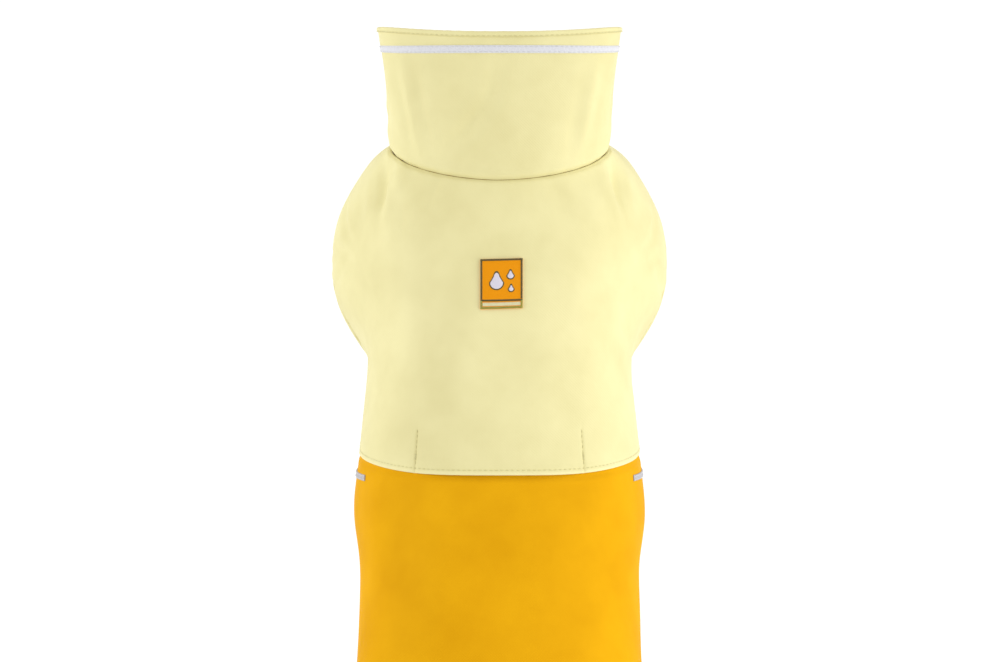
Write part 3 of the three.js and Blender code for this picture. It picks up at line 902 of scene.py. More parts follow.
def add_node(tree: bpy.types.NodeTree, kind: str, inputs: dict | None = None, **settings: object
             ) -> bpy.types.Node:
    """Add a node with its settings and links.

    Args:
        tree: The material's node tree.
        kind: Node type, such as ShaderNodeMath.
        inputs: Value or output socket for each input, by name or number.
        settings: Properties of the node.

    Returns:
        The new node.
    """
    node = tree.nodes.new(kind)
    for key, value in settings.items():
        setattr(node, key, value)
    for key, value in (inputs or {}).items():
        if isinstance(value, bpy.types.NodeSocket):
            tree.links.new(value, node.inputs[key])
        else:
            node.inputs[key].default_value = value
    return node


@dataclass(frozen=True)
class WovenShell:
    """Coated plain-weave polyester: matte, with a faint grain of crossing threads.

    The real threads are about 0.2 mm apart, too fine to show at this distance, so the weave is
    drawn thread_mm apart.
    """

    name: str
    colour: str
    # Darker colour for the mottling and the weave's grain, and for the painted shade along seams
    valley: str
    coating: str
    thread_mm: float = 0.9
    roughness: float = 0.6
    specular: float = 0.2
    sheen: float = 0.06
    mottle_mm: float = 38
    crinkle_mm: float = 7

    def make(self) -> bpy.types.Material:
        """Material of the cloth: weave, mottling, crinkle, painted shade and highlight from seam_shade, and a coated
        inside.
        """
        material = bpy.data.materials.new(self.name)
        material.use_nodes = True
        tree = material.node_tree
        shader = tree.nodes["Principled BSDF"]
        uv = add_node(tree, "ShaderNodeUVMap", uv_map="weave")
        turns = math.pi / (self.thread_mm * MM)
        scaled = add_node(tree, "ShaderNodeVectorMath", {0: uv.outputs[0], 1: (turns, turns, turns)},
                          operation="MULTIPLY")
        axes = add_node(tree, "ShaderNodeSeparateXYZ", {0: scaled.outputs[0]})
        warp = add_node(tree, "ShaderNodeMath", {0: axes.outputs[0]}, operation="SINE")
        weft = add_node(tree, "ShaderNodeMath", {0: axes.outputs[1]}, operation="SINE")
        weave = add_node(tree, "ShaderNodeMath", {0: warp.outputs[0], 1: weft.outputs[0]},
                         operation="MULTIPLY")
        place = add_node(tree, "ShaderNodeTexCoord")
        mottle = add_node(tree, "ShaderNodeTexNoise", {
            "Vector": place.outputs["Object"], "Scale": 1 / (self.mottle_mm * MM), "Detail": 4.0,
            "Roughness": 0.55,
        })
        tone = add_node(tree, "ShaderNodeMapRange", {
            "Value": mottle.outputs["Fac"], "From Min": 0.3, "From Max": 0.7, "To Min": 0.0,
            "To Max": 0.32,
        })
        grain = add_node(tree, "ShaderNodeMapRange", {
            "Value": weave.outputs[0], "From Min": -1.0, "From Max": 1.0, "To Min": 0.10, "To Max": 0.0,
        })
        worn = add_node(tree, "ShaderNodeMath", {0: tone.outputs[0], 1: grain.outputs[0]}, operation="ADD")
        # seam_shade paints shade along seams and stitch lines into the colour, and a painted highlight where it is
        # below 0
        seam = add_node(tree, "ShaderNodeAttribute", attribute_name="seam_shade")
        shaded = add_node(tree, "ShaderNodeMath", {0: seam.outputs["Fac"], 1: 0.75, 2: worn.outputs[0]},
                          operation="MULTIPLY_ADD", use_clamp=True)
        colour = add_node(tree, "ShaderNodeMix", {
            "Factor": shaded.outputs[0], 6: linear(self.colour), 7: linear(self.valley),
        }, data_type="RGBA")
        inside = add_node(tree, "ShaderNodeAttribute", attribute_name="lining_side")
        both = add_node(tree, "ShaderNodeMix", {
            "Factor": inside.outputs["Fac"], 6: colour.outputs[2], 7: linear(self.coating),
        }, data_type="RGBA")
        crinkle = add_node(tree, "ShaderNodeTexNoise", {
            "Vector": place.outputs["Object"], "Scale": 1 / (self.crinkle_mm * MM), "Detail": 3.0,
            "Roughness": 0.5,
        })
        soft = add_node(tree, "ShaderNodeBump", {
            "Strength": 0.22, "Distance": 0.6 * MM, "Height": crinkle.outputs["Fac"],
        })
        threads = add_node(tree, "ShaderNodeBump", {
            "Strength": 0.16, "Distance": 0.12 * MM, "Height": weave.outputs[0],
            "Normal": soft.outputs[0],
        })
        tree.links.new(both.outputs[2], shader.inputs["Base Color"])
        tree.links.new(threads.outputs[0], shader.inputs["Normal"])
        shader.inputs["Roughness"].default_value = self.roughness
        shader.inputs["IOR"].default_value = 1.46
        shader.inputs["Specular IOR Level"].default_value = self.specular
        shader.inputs["Sheen Weight"].default_value = self.sheen
        shader.inputs["Sheen Roughness"].default_value = 0.45
        return material


@dataclass(frozen=True)
class GlassBeadTape:
    """Reflective tape: silver-grey film under glass beads, with a fine sparkle.

    The beads are under 0.1 mm, so they are drawn bead_mm across.
    """

    name: str
    colour: str
    shadow: str
    bead_mm: float = 0.8

    def make(self) -> bpy.types.Material:
        """Material of the tape."""
        material = bpy.data.materials.new(self.name)
        material.use_nodes = True
        tree = material.node_tree
        shader = tree.nodes["Principled BSDF"]
        place = add_node(tree, "ShaderNodeTexCoord")
        beads = add_node(tree, "ShaderNodeTexVoronoi", {
            "Vector": place.outputs["Object"], "Scale": 1 / (self.bead_mm * MM),
        })
        tint = add_node(tree, "ShaderNodeMapRange", {
            "Value": beads.outputs["Distance"], "From Max": 0.8, "To Max": 0.45,
        })
        colour = add_node(tree, "ShaderNodeMix", {
            "Factor": tint.outputs[0], 6: linear(self.colour), 7: linear(self.shadow),
        }, data_type="RGBA")
        bump = add_node(tree, "ShaderNodeBump", {
            "Strength": 0.15, "Distance": 0.1 * MM, "Height": beads.outputs["Distance"],
        })
        tree.links.new(colour.outputs[2], shader.inputs["Base Color"])
        tree.links.new(bump.outputs[0], shader.inputs["Normal"])
        shader.inputs["Roughness"].default_value = 0.6
        shader.inputs["Specular IOR Level"].default_value = 0.3
        return material


@dataclass(frozen=True)
class Thread:
    """Spun polyester thread: soft gloss with a twist along each stitch."""

    name: str
    colour: str
    shadow: str
    ply_mm: float = 0.5

    def make(self) -> bpy.types.Material:
        """Material of the thread."""
        material = bpy.data.materials.new(self.name)
        material.use_nodes = True
        tree = material.node_tree
        shader = tree.nodes["Principled BSDF"]
        place = add_node(tree, "ShaderNodeTexCoord")
        ply = add_node(tree, "ShaderNodeTexNoise", {
            "Vector": place.outputs["Object"], "Scale": 1 / (self.ply_mm * MM), "Detail": 2.0,
        })
        colour = add_node(tree, "ShaderNodeMix", {
            "Factor": ply.outputs["Fac"], 6: linear(self.colour), 7: linear(self.shadow),
        }, data_type="RGBA")
        bump = add_node(tree, "ShaderNodeBump", {
            "Strength": 0.3, "Distance": 0.1 * MM, "Height": ply.outputs["Fac"],
        })
        tree.links.new(colour.outputs[2], shader.inputs["Base Color"])
        tree.links.new(bump.outputs[0], shader.inputs["Normal"])
        shader.inputs["Roughness"].default_value = 0.5
        shader.inputs["Sheen Weight"].default_value = 0.25
        return material


@dataclass(frozen=True)
class PatchTwill:
    """Damask patch cloth: close diagonal ribs with a silky face, drawn rib_mm apart."""

    name: str
    colour: str
    valley: str
    rib_mm: float = 0.8

    def make(self) -> bpy.types.Material:
        """Material of the patch's face."""
        material = bpy.data.materials.new(self.name)
        material.use_nodes = True
        tree = material.node_tree
        shader = tree.nodes["Principled BSDF"]
        uv = add_node(tree, "ShaderNodeUVMap", uv_map="weave")
        axes = add_node(tree, "ShaderNodeSeparateXYZ", {0: uv.outputs[0]})
        slant = add_node(tree, "ShaderNodeMath", {0: axes.outputs[0], 1: axes.outputs[1]}, operation="ADD")
        turns = add_node(tree, "ShaderNodeMath", {0: slant.outputs[0], 1: 2 * math.pi / (self.rib_mm * MM)},
                         operation="MULTIPLY")
        rib = add_node(tree, "ShaderNodeMath", {0: turns.outputs[0]}, operation="SINE")
        tone = add_node(tree, "ShaderNodeMapRange", {
            "Value": rib.outputs[0], "From Min": -1.0, "To Min": 0.5, "To Max": 0.0,
        })
        colour = add_node(tree, "ShaderNodeMix", {
            "Factor": tone.outputs[0], 6: linear(self.colour), 7: linear(self.valley),
        }, data_type="RGBA")
        bump = add_node(tree, "ShaderNodeBump", {
            "Strength": 0.35, "Distance": 0.15 * MM, "Height": rib.outputs[0],
        })
        tree.links.new(colour.outputs[2], shader.inputs["Base Color"])
        tree.links.new(bump.outputs[0], shader.inputs["Normal"])
        shader.inputs["Roughness"].default_value = 0.6
        shader.inputs["Specular IOR Level"].default_value = 0.1
        return material


PALE_CLOTH = WovenShell(name="coated polyester, pale yellow", colour="F2EAB1", valley="CFC484",
                        coating="E2DCBC", specular=0.2)
AMBER_CLOTH = WovenShell(name="coated polyester, amber", colour="EFB113", valley="C98805",
                         coating="DDA24A", specular=0.02, sheen=0.0)
TAPE_FILM = GlassBeadTape(name="glass bead reflective tape", colour="E7E7EB", shadow="C6C6CB")
# The same tape again, with darker colours that paint the shade it lies in on the flanks, seen edge-on
SHADED_FLANK_TAPE_FILM = GlassBeadTape(name="glass bead reflective tape, dulled", colour="C3C0C2", shadow="9A979A")
PALE_THREAD = Thread(name="polyester thread, pale yellow", colour="EFE8AE", shadow="B9B070")
AMBER_THREAD = Thread(name="polyester thread, amber", colour="F2A81C", shadow="A96D0E")
GREY_THREAD = Thread(name="polyester thread, light grey", colour="E0E0E3", shadow="C4C4C8")
OLIVE_THREAD = Thread(name="rayon thread, dark olive", colour="655A12", shadow="382F08")
MOSS_THREAD = Thread(name="rayon thread, moss green", colour="B4B24A", shadow="7C7C24")
CREAM_THREAD = Thread(name="rayon thread, cream", colour="F7F2CC", shadow="D2CB98")
LILAC_THREAD = Thread(name="rayon thread, pale lilac", colour="E9E4F0", shadow="C9C3D4")
PATCH_CLOTH = PatchTwill(name="woven damask, amber", colour="F79F0A", valley="DC8606")


class Finishes:
    """The materials, each made once and handed out to the pieces."""

    def __init__(self) -> None:
        """Start with no material made."""
        self.made: dict[str, bpy.types.Material] = {}

    def dress(self, obj: bpy.types.Object, finish: WovenShell | GlassBeadTape | Thread | PatchTwill) -> None:
        """Give an object a finish."""
        if finish.name not in self.made:
            self.made[finish.name] = finish.make()
        obj.data.materials.clear()
        obj.data.materials.append(self.made[finish.name])


# Stitching


@dataclass
class StitchMaker:
    """Models one stitch, then lays copies of it along a path as one joined mesh."""

    length: float = 2.5
    gap: float = 0.8
    thick: float = 0.5

    def model(self) -> tuple[np.ndarray, list[list[int]]]:
        """Model one stitch along x: a bead of thread whose ends dive into the cloth.

        Returns:
            Its points in mm and its faces.
        """
        bpy.ops.object.select_all(action="DESELECT")
        bpy.ops.mesh.primitive_uv_sphere_add(segments=6, ring_count=6, radius=0.5)
        bead = bpy.context.active_object
        bpy.ops.object.mode_set(mode="EDIT")
        bpy.ops.mesh.select_all(action="SELECT")
        bpy.ops.transform.rotate(value=math.pi / 2, orient_axis="Y", center_override=(0, 0, 0))
        bpy.ops.transform.resize(value=(self.length, self.thick, self.thick * 0.8))
        edit_some(bead, lambda place: abs(place.x) > self.length * 0.3)
        bpy.ops.transform.translate(value=(0, 0, -self.thick * 0.35))
        bpy.ops.object.mode_set(mode="OBJECT")
        points = np.array([v.co[:] for v in bead.data.vertices])
        faces = [list(p.vertices) for p in bead.data.polygons]
        centre = points.mean(axis=0)
        first = points[faces[0]]
        facing = np.cross(first[1] - first[0], first[2] - first[0]) @ (first.mean(axis=0) - centre)
        if facing < 0:
            faces = [face[::-1] for face in faces]
        mesh = bead.data
        bpy.data.objects.remove(bead)
        bpy.data.meshes.remove(mesh)
        return points, faces

    def lay(self, name: str, paths: Sequence[tuple[np.ndarray, np.ndarray]], lift: float = 0.12,
            slant: float = 0.0) -> bpy.types.Object:
        """Lay stitches along paths.

        Args:
            name: Name of the piece.
            paths: Points in mm and outward normals of each path.
            lift: Height of the thread's middle over the cloth, in mm.
            slant: Turn of each stitch from its path, in degrees.

        Returns:
            One object that holds all the stitches.
        """
        bead, bead_faces = self.model()
        points, faces = [], []
        pitch = (self.length + self.gap) if slant == 0 else self.gap
        for path, normals in paths:
            steps = np.linalg.norm(np.diff(path, axis=0), axis=1)
            measure = np.concatenate([[0], np.cumsum(steps)])
            count = max(1, int(measure[-1] / pitch))
            at = (np.arange(count) + 0.5) * measure[-1] / count
            middle = np.stack([np.interp(at, measure, path[:, k]) for k in range(3)], axis=1)
            ahead = np.stack([np.interp(at + 0.8, measure, path[:, k]) for k in range(3)], axis=1)
            behind = np.stack([np.interp(at - 0.8, measure, path[:, k]) for k in range(3)], axis=1)
            normal = unit(np.stack([np.interp(at, measure, normals[:, k]) for k in range(3)], axis=1))
            heading = unit(ahead - behind)
            side = unit(np.cross(normal, heading))
            heading = np.cross(side, normal)
            turn = math.radians(slant)
            along = heading * math.cos(turn) + side * math.sin(turn)
            aside = side * math.cos(turn) - heading * math.sin(turn)
            for m, a, s, n in zip(middle, along, aside, normal):
                start = len(points) * len(bead)
                points.append(m + n * lift + bead[:, :1] * a + bead[:, 1:2] * s + bead[:, 2:3] * n)
                faces.extend([[p + start for p in face] for face in bead_faces])
        mesh = bpy.data.meshes.new(name)
        mesh.from_pydata((np.concatenate(points) * MM).tolist(), [], faces)
        mesh.update()
        obj = bpy.data.objects.new(name, mesh)
        bpy.context.collection.objects.link(obj)
        select_only(obj)
        bpy.ops.object.shade_smooth()
        return obj


TOPSTITCH = StitchMaker()
SATIN = StitchMaker(length=1.7, gap=0.62, thick=0.62)


# Pieces of the coat


@dataclass
class CoatPart:
    """A sub-assembly: a cloth piece and what is sewn on it."""

    finishes: Finishes

    def settle(self, obj: bpy.types.Object, slot: Slot, finish: object, node: str | None = None) -> None:
        """Dress a piece, make it ride with the coat and let it replace its solid.

        Args:
            obj: The piece.
            slot: Material slot; not used.
            finish: The finish itself.
            node: The solid that it stands for, if any.
        """
        self.finishes.dress(obj, finish)
        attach(obj, ROOT)
        if node:
            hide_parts(node)
        log.info("%s: %d faces", obj.name, len(obj.data.polygons))


@dataclass
class Yoke(CoatPart):
    """The yoke, from the neck seam over both shoulders to its free hem."""

    side_seam: float = -45.0
    gap: float = 0.3
    thick: float = 0.7
    portal_half: float = 48.0
    portal_lift: float = 1.3
    portal_rings: float = 0.55
    portal_angle: float = 60.8
    portal_length: float = 28.0
    tack_from_hem: float = 10.0
    length_mm: float = 200.0
    degree_mm: float = 1.85

    def cloth(self) -> Cloth:
        """The yoke's cloth with its creases, seams, hem and lifted portal."""
        share = stops(-TUCK_MM / self.length_mm, 1, 2.5, 0.8, [(0, 0.024), (1, 0.024)], self.length_mm)
        half = 90 - self.side_seam - self.gap / 2
        marks = [(90 - half, 3), (90 + half, 3), (self.portal_angle, 1.2), (180 - self.portal_angle, 1.2)]
        angles = stops(90 - half, 90 + half, 2.7, 0.8, marks, self.degree_mm)
        hem = YOKE_HEM_LINE.at(angles)[None, :]
        cloth = Cloth(BODY, share[:, None] * hem, angles[None, :], thickness=self.thick)
        cloth.open_armholes(-TUCK_MM)
        cloth.crease(BODY_CREASES)
        over, back, up = cloth.over, cloth.back, cloth.up
        neck, arm = cloth.past_row(0), cloth.armhole_distance()
        down = np.maximum(neck, 0)
        aside = np.cos(np.radians(cloth.column)) ** 2
        cloth.relief += NECK_SEAM.height(down, over) * (0.3 + 0.5 * aside)
        cloth.relief += SEAM.height(over, down) + SEAM.height(back, down)
        cloth.relief += SEAM.height(np.maximum(arm, 0), cloth.base[..., 2])
        cloth.relief += YOKE_HEM.height(up, over)
        cloth.tuck(-neck)
        cloth.tuck(-arm)
        side = np.abs(cloth.base[..., 0]) / self.portal_half
        on_top = np.sin(np.radians(cloth.column)) > 0
        lift = self.portal_lift * np.clip(1 - side**4, 0, 1) * on_top
        behind = cloth.row - YOKE_HEM_LINE.at(cloth.column)
        cloth.relief += lift * smooth(behind, -self.portal_rings, 0)
        for angle in (self.portal_angle, 180 - self.portal_angle):
            aside = (cloth.column - angle) * self.degree_mm
            inside = 1 - smooth(up, self.portal_length - 1, self.portal_length + 1)
            # The portal's stitch lines sink into the cloth, with painted shade along them
            cloth.relief -= 0.4 * np.exp(-((aside / 1.0) ** 2)) * inside
            cloth.shade = np.maximum(cloth.shade, 0.45 * np.exp(-((aside / 0.8) ** 2)) * inside)
        # Painted shade along the neck seam, the side seams, the armholes and the hem's stitching
        cloth.paint_shade(down, 1.3, 0.55)
        cloth.paint_shade(over, 1.0, 0.6)
        cloth.paint_shade(back, 1.0, 0.6)
        cloth.paint_shade(np.maximum(arm, 0), 1.2, 0.7)
        cloth.paint_shade(up - YOKE_HEM.stitch, 0.8, 0.1)
        # Painted highlight along the hem's folded edge: the seam shade goes below 0 there
        cloth.shade -= 0.5 * np.exp(-((up / 1.3) ** 2))
        return cloth

    def portal_paths(self, cloth: Cloth, start: float, end: float) -> list[tuple[np.ndarray, np.ndarray]]:
        """Paths of the two short rows of stitching, between two distances from the hem."""
        paths = []
        for angle in (self.portal_angle, 180 - self.portal_angle):
            column = float(np.interp(angle, cloth.column[-1], np.arange(cloth.column.shape[1])))
            up = cloth.up[:, int(column)]
            rows = np.interp(np.linspace(start, end, 24), up[::-1], np.arange(len(up))[::-1])
            paths.append(cloth.line(rows, np.full(24, column)))
        return paths

    def build(self) -> Cloth:
        """Build the yoke and its sewing.

        Returns:
            Its cloth, which the patch is laid on.
        """
        cloth = self.cloth()
        piece = cloth.build("yoke_cloth")
        self.settle(piece, Slot.PALE, PALE_CLOTH, "yoke")
        hem = TOPSTITCH.lay("yoke_hem_stitching", [cloth.row_line(YOKE_HEM.stitch)])
        portal = TOPSTITCH.lay("portal_stitching", self.portal_paths(cloth, 1.5, self.portal_length))
        tacks = SATIN.lay("portal_bar_tacks", self.portal_paths(
            cloth, self.tack_from_hem - 2, self.tack_from_hem + 2), lift=0.3, slant=82)
        seams = TOPSTITCH.lay("yoke_seam_stitching", [
            cloth.column_line(2.4, from_end=False), cloth.column_line(2.4, from_end=True)])
        for sewing in (hem, portal, tacks, seams):
            self.settle(sewing, Slot.PALE, PALE_THREAD)
        return cloth


@dataclass
class BackPanel(CoatPart):
    """The amber back panel, from under the yoke's hem to the rounded rear hem."""

    underlap_rings: float = 0.6
    ramp_rings: float = 0.13
    drop: float = 1.15
    side_seam: float = -45.0
    gap: float = 0.3
    belly_end_ring: float = 7.5
    rear_side_angle: float = -24.0
    corner_rings: float = 1.1
    length_mm: float = 300.0
    width_mm: float = 480.0

    def layer_drop(self, ring: np.ndarray, angle: np.ndarray) -> np.ndarray:
        """How far the panel lies under the body's surface to pass below the yoke."""
        return self.drop * (1 - smooth(ring - YOKE_HEM_LINE.at(angle), 0.01, self.ramp_rings))

    def cloth(self) -> Cloth:
        """The panel's cloth with its creases, seams and hems."""
        share = stops(0, 1, 2.8, 0.9, [(0.115, 0.02), (1, 0.03)], self.length_mm)[:, None]
        across = stops(-1, 1, 2.9, 0.9, [(-1, 0.02), (1, 0.02)], self.width_mm / 2)[None, :]
        end = LAST_RING - self.corner_rings * np.abs(across) ** 5
        half = 90 - self.side_seam - self.gap / 2
        first = YOKE_HEM_LINE.at(90 + across * half) - self.underlap_rings
        ring = first + share * (end - first)
        free = smooth(ring, self.belly_end_ring, LAST_RING)
        angle = 90 + across * (half - free * (self.rear_side_angle - self.side_seam))
        cloth = Cloth(BODY, ring, angle)
        cloth.crease(BODY_CREASES)
        settled = smooth(cloth.row - YOKE_HEM_LINE.at(cloth.column), 0, 0.3)
        cloth.relief -= self.layer_drop(cloth.row, cloth.column)
        over, back, down, up = cloth.over, cloth.back, cloth.down, cloth.up
        loose = smooth(cloth.row, self.belly_end_ring - 0.15, self.belly_end_ring + 0.15)
        for distance in (over, back):
            cloth.relief += SEAM.height(distance, down) * (1 - loose) * settled
            cloth.relief += HEM.height(distance, down) * loose
        cloth.relief += HEM.height(up, over)
        # Painted shade along the panel's side edges and the rear hem's stitching
        cloth.paint_shade(over, 1.0, 0.6)
        cloth.paint_shade(back, 1.0, 0.6)
        cloth.paint_shade(up - HEM.stitch, 0.8, 0.3)
        return cloth

    def build(self) -> Cloth:
        """Build the panel and its sewing.

        Returns:
            Its cloth, which the flank tapes are laid on.
        """
        cloth = self.cloth()
        piece = cloth.build("back_panel_cloth")
        self.settle(piece, Slot.AMBER, AMBER_CLOTH, "back_panel")
        rear = TOPSTITCH.lay("rear_hem_stitching", [cloth.row_line(HEM.stitch)])
        right = cloth.column_line(HEM.stitch, from_end=False)
        left = cloth.column_line(HEM.stitch, from_end=True)
        behind = cloth.row[:, 0] > self.belly_end_ring
        sides = TOPSTITCH.lay("rear_side_hem_stitching", [
            (points[behind], normals[behind]) for points, normals in (right, left)])
        seam_right = cloth.column_line(2.4, from_end=False)
        seam_left = cloth.column_line(2.4, from_end=True)
        ahead = (cloth.row[:, 0] > YOKE_HEM_LINE.ring) & ~behind
        seams = TOPSTITCH.lay("flank_seam_stitching", [
            (points[ahead], normals[ahead]) for points, normals in (seam_right, seam_left)])
        for sewing in (rear, sides, seams):
            self.settle(sewing, Slot.AMBER, AMBER_THREAD)
        return cloth


@dataclass
class BellyPanel(CoatPart):
    """The amber belly panel, from the throat to a hem cut higher in the middle."""

    side_seam: float = -45.0
    gap: float = 0.3
    end_ring: float = 7.5
    notch_rings: float = 0.55
    tuck_angle: float = 0.85
    length_mm: float = 330.0
    width_mm: float = 150.0

    def build(self) -> Cloth:
        """Build the panel and its sewing."""
        share = stops(-TUCK_MM / self.length_mm, 1, 3.2, 0.9, [(0, 0.01), (1, 0.03)],
                      self.length_mm)[:, None]
        across = stops(-1, 1, 3.0, 0.9, [(-1, 0.03), (1, 0.03)], self.width_mm / 2)[None, :]
        end = self.end_ring - self.notch_rings * (1 - across**2)
        half = 90 + self.side_seam - self.gap / 2
        cloth = Cloth(BODY, share * end, -90 + across * (half + self.tuck_angle))
        cloth.open_armholes(-TUCK_MM)
        cloth.crease([Crease(c.row, c.column - 360 if c.column > 180 else c.column, c.length, c.width,
                             c.depth, c.turn, c.bend) for c in BODY_CREASES])
        neck, arm, up = cloth.past_row(0), cloth.armhole_distance(), cloth.up
        left, right = cloth.past_column(-90 - half), -cloth.past_column(-90 + half)
        down = np.maximum(neck, 0)
        cloth.relief += NECK_SEAM.height(down, cloth.over)
        cloth.relief += SEAM.height(np.maximum(arm, 0), cloth.base[..., 2])
        cloth.relief += HEM.height(up, cloth.over)
        cloth.tuck(-neck)
        cloth.tuck(-arm)
        # Painted shade along the neck seam, the armholes, the hem's stitching and the side seams
        cloth.paint_shade(down, 1.6)
        cloth.paint_shade(np.maximum(arm, 0), 1.2, 0.7)
        cloth.paint_shade(up - HEM.stitch, 0.8, 0.3)
        for side in (left, right):
            cloth.relief += SEAM.height(np.maximum(side, 0), down)
            cloth.tuck(-side)
            cloth.paint_shade(np.maximum(side, 0), 1.0, 0.6)
        piece = cloth.build("belly_panel_cloth")
        self.settle(piece, Slot.AMBER, AMBER_CLOTH, "belly_panel")
        hem = TOPSTITCH.lay("belly_hem_stitching", [cloth.row_line(HEM.stitch)])
        self.settle(hem, Slot.AMBER, AMBER_THREAD)
        return cloth


@dataclass
class Sleeve(CoatPart):
    """A short sleeve, from its armhole to a turned cuff."""

    side: Side = Side.RIGHT
    allowance: float = 0.021
    round_mm: float = 270.0

    def build(self) -> Cloth:
        """Build the sleeve and its cuff's stitching."""
        share = stops(-self.allowance, 1, 2.6, 0.9, [(0, 0.03), (1, 0.07)], SLEEVE.length)[:, None]
        turn = np.linspace(0, 360, int(self.round_mm / 2.5))[None, :]
        cloth = Cloth(SLEEVE, share, turn, wraps=True, mirrored=self.side is Side.LEFT)
        creases = RIGHT_SLEEVE_CREASES if self.side is Side.RIGHT else LEFT_SLEEVE_CREASES
        raw = crease_relief(cloth.base, creases, SLEEVE)
        down = cloth.past_row(0)
        cloth.relief += raw * smooth(down, 2, 16) * smooth(cloth.up, 1, 10)
        cloth.relief += SEAM.height(np.abs(down), cloth.over) + HEM.height(cloth.up, cloth.over)
        underarm = (cloth.column - 270) * self.round_mm / 360
        cloth.relief -= 0.5 * np.exp(-((underarm / 1.4) ** 2))
        cloth.relief[:, -1] = cloth.relief[:, 0]
        # Painted shade along the underarm seam, the armhole seam and the cuff's stitching
        cloth.paint_shade(underarm, 1.2, 0.6)
        cloth.paint_shade(down, 1.2, 0.7)
        cloth.paint_shade(cloth.up - HEM.stitch, 0.8, 0.3)
        name = self.side.name.lower()
        piece = cloth.build(f"sleeve_{name}_cloth")
        self.settle(piece, Slot.PALE, PALE_CLOTH, f"sleeve_{name}")
        cuff = TOPSTITCH.lay(f"cuff_{name}_stitching", [cloth.row_line(HEM.stitch)])
        self.settle(cuff, Slot.PALE, PALE_THREAD)
        return cloth


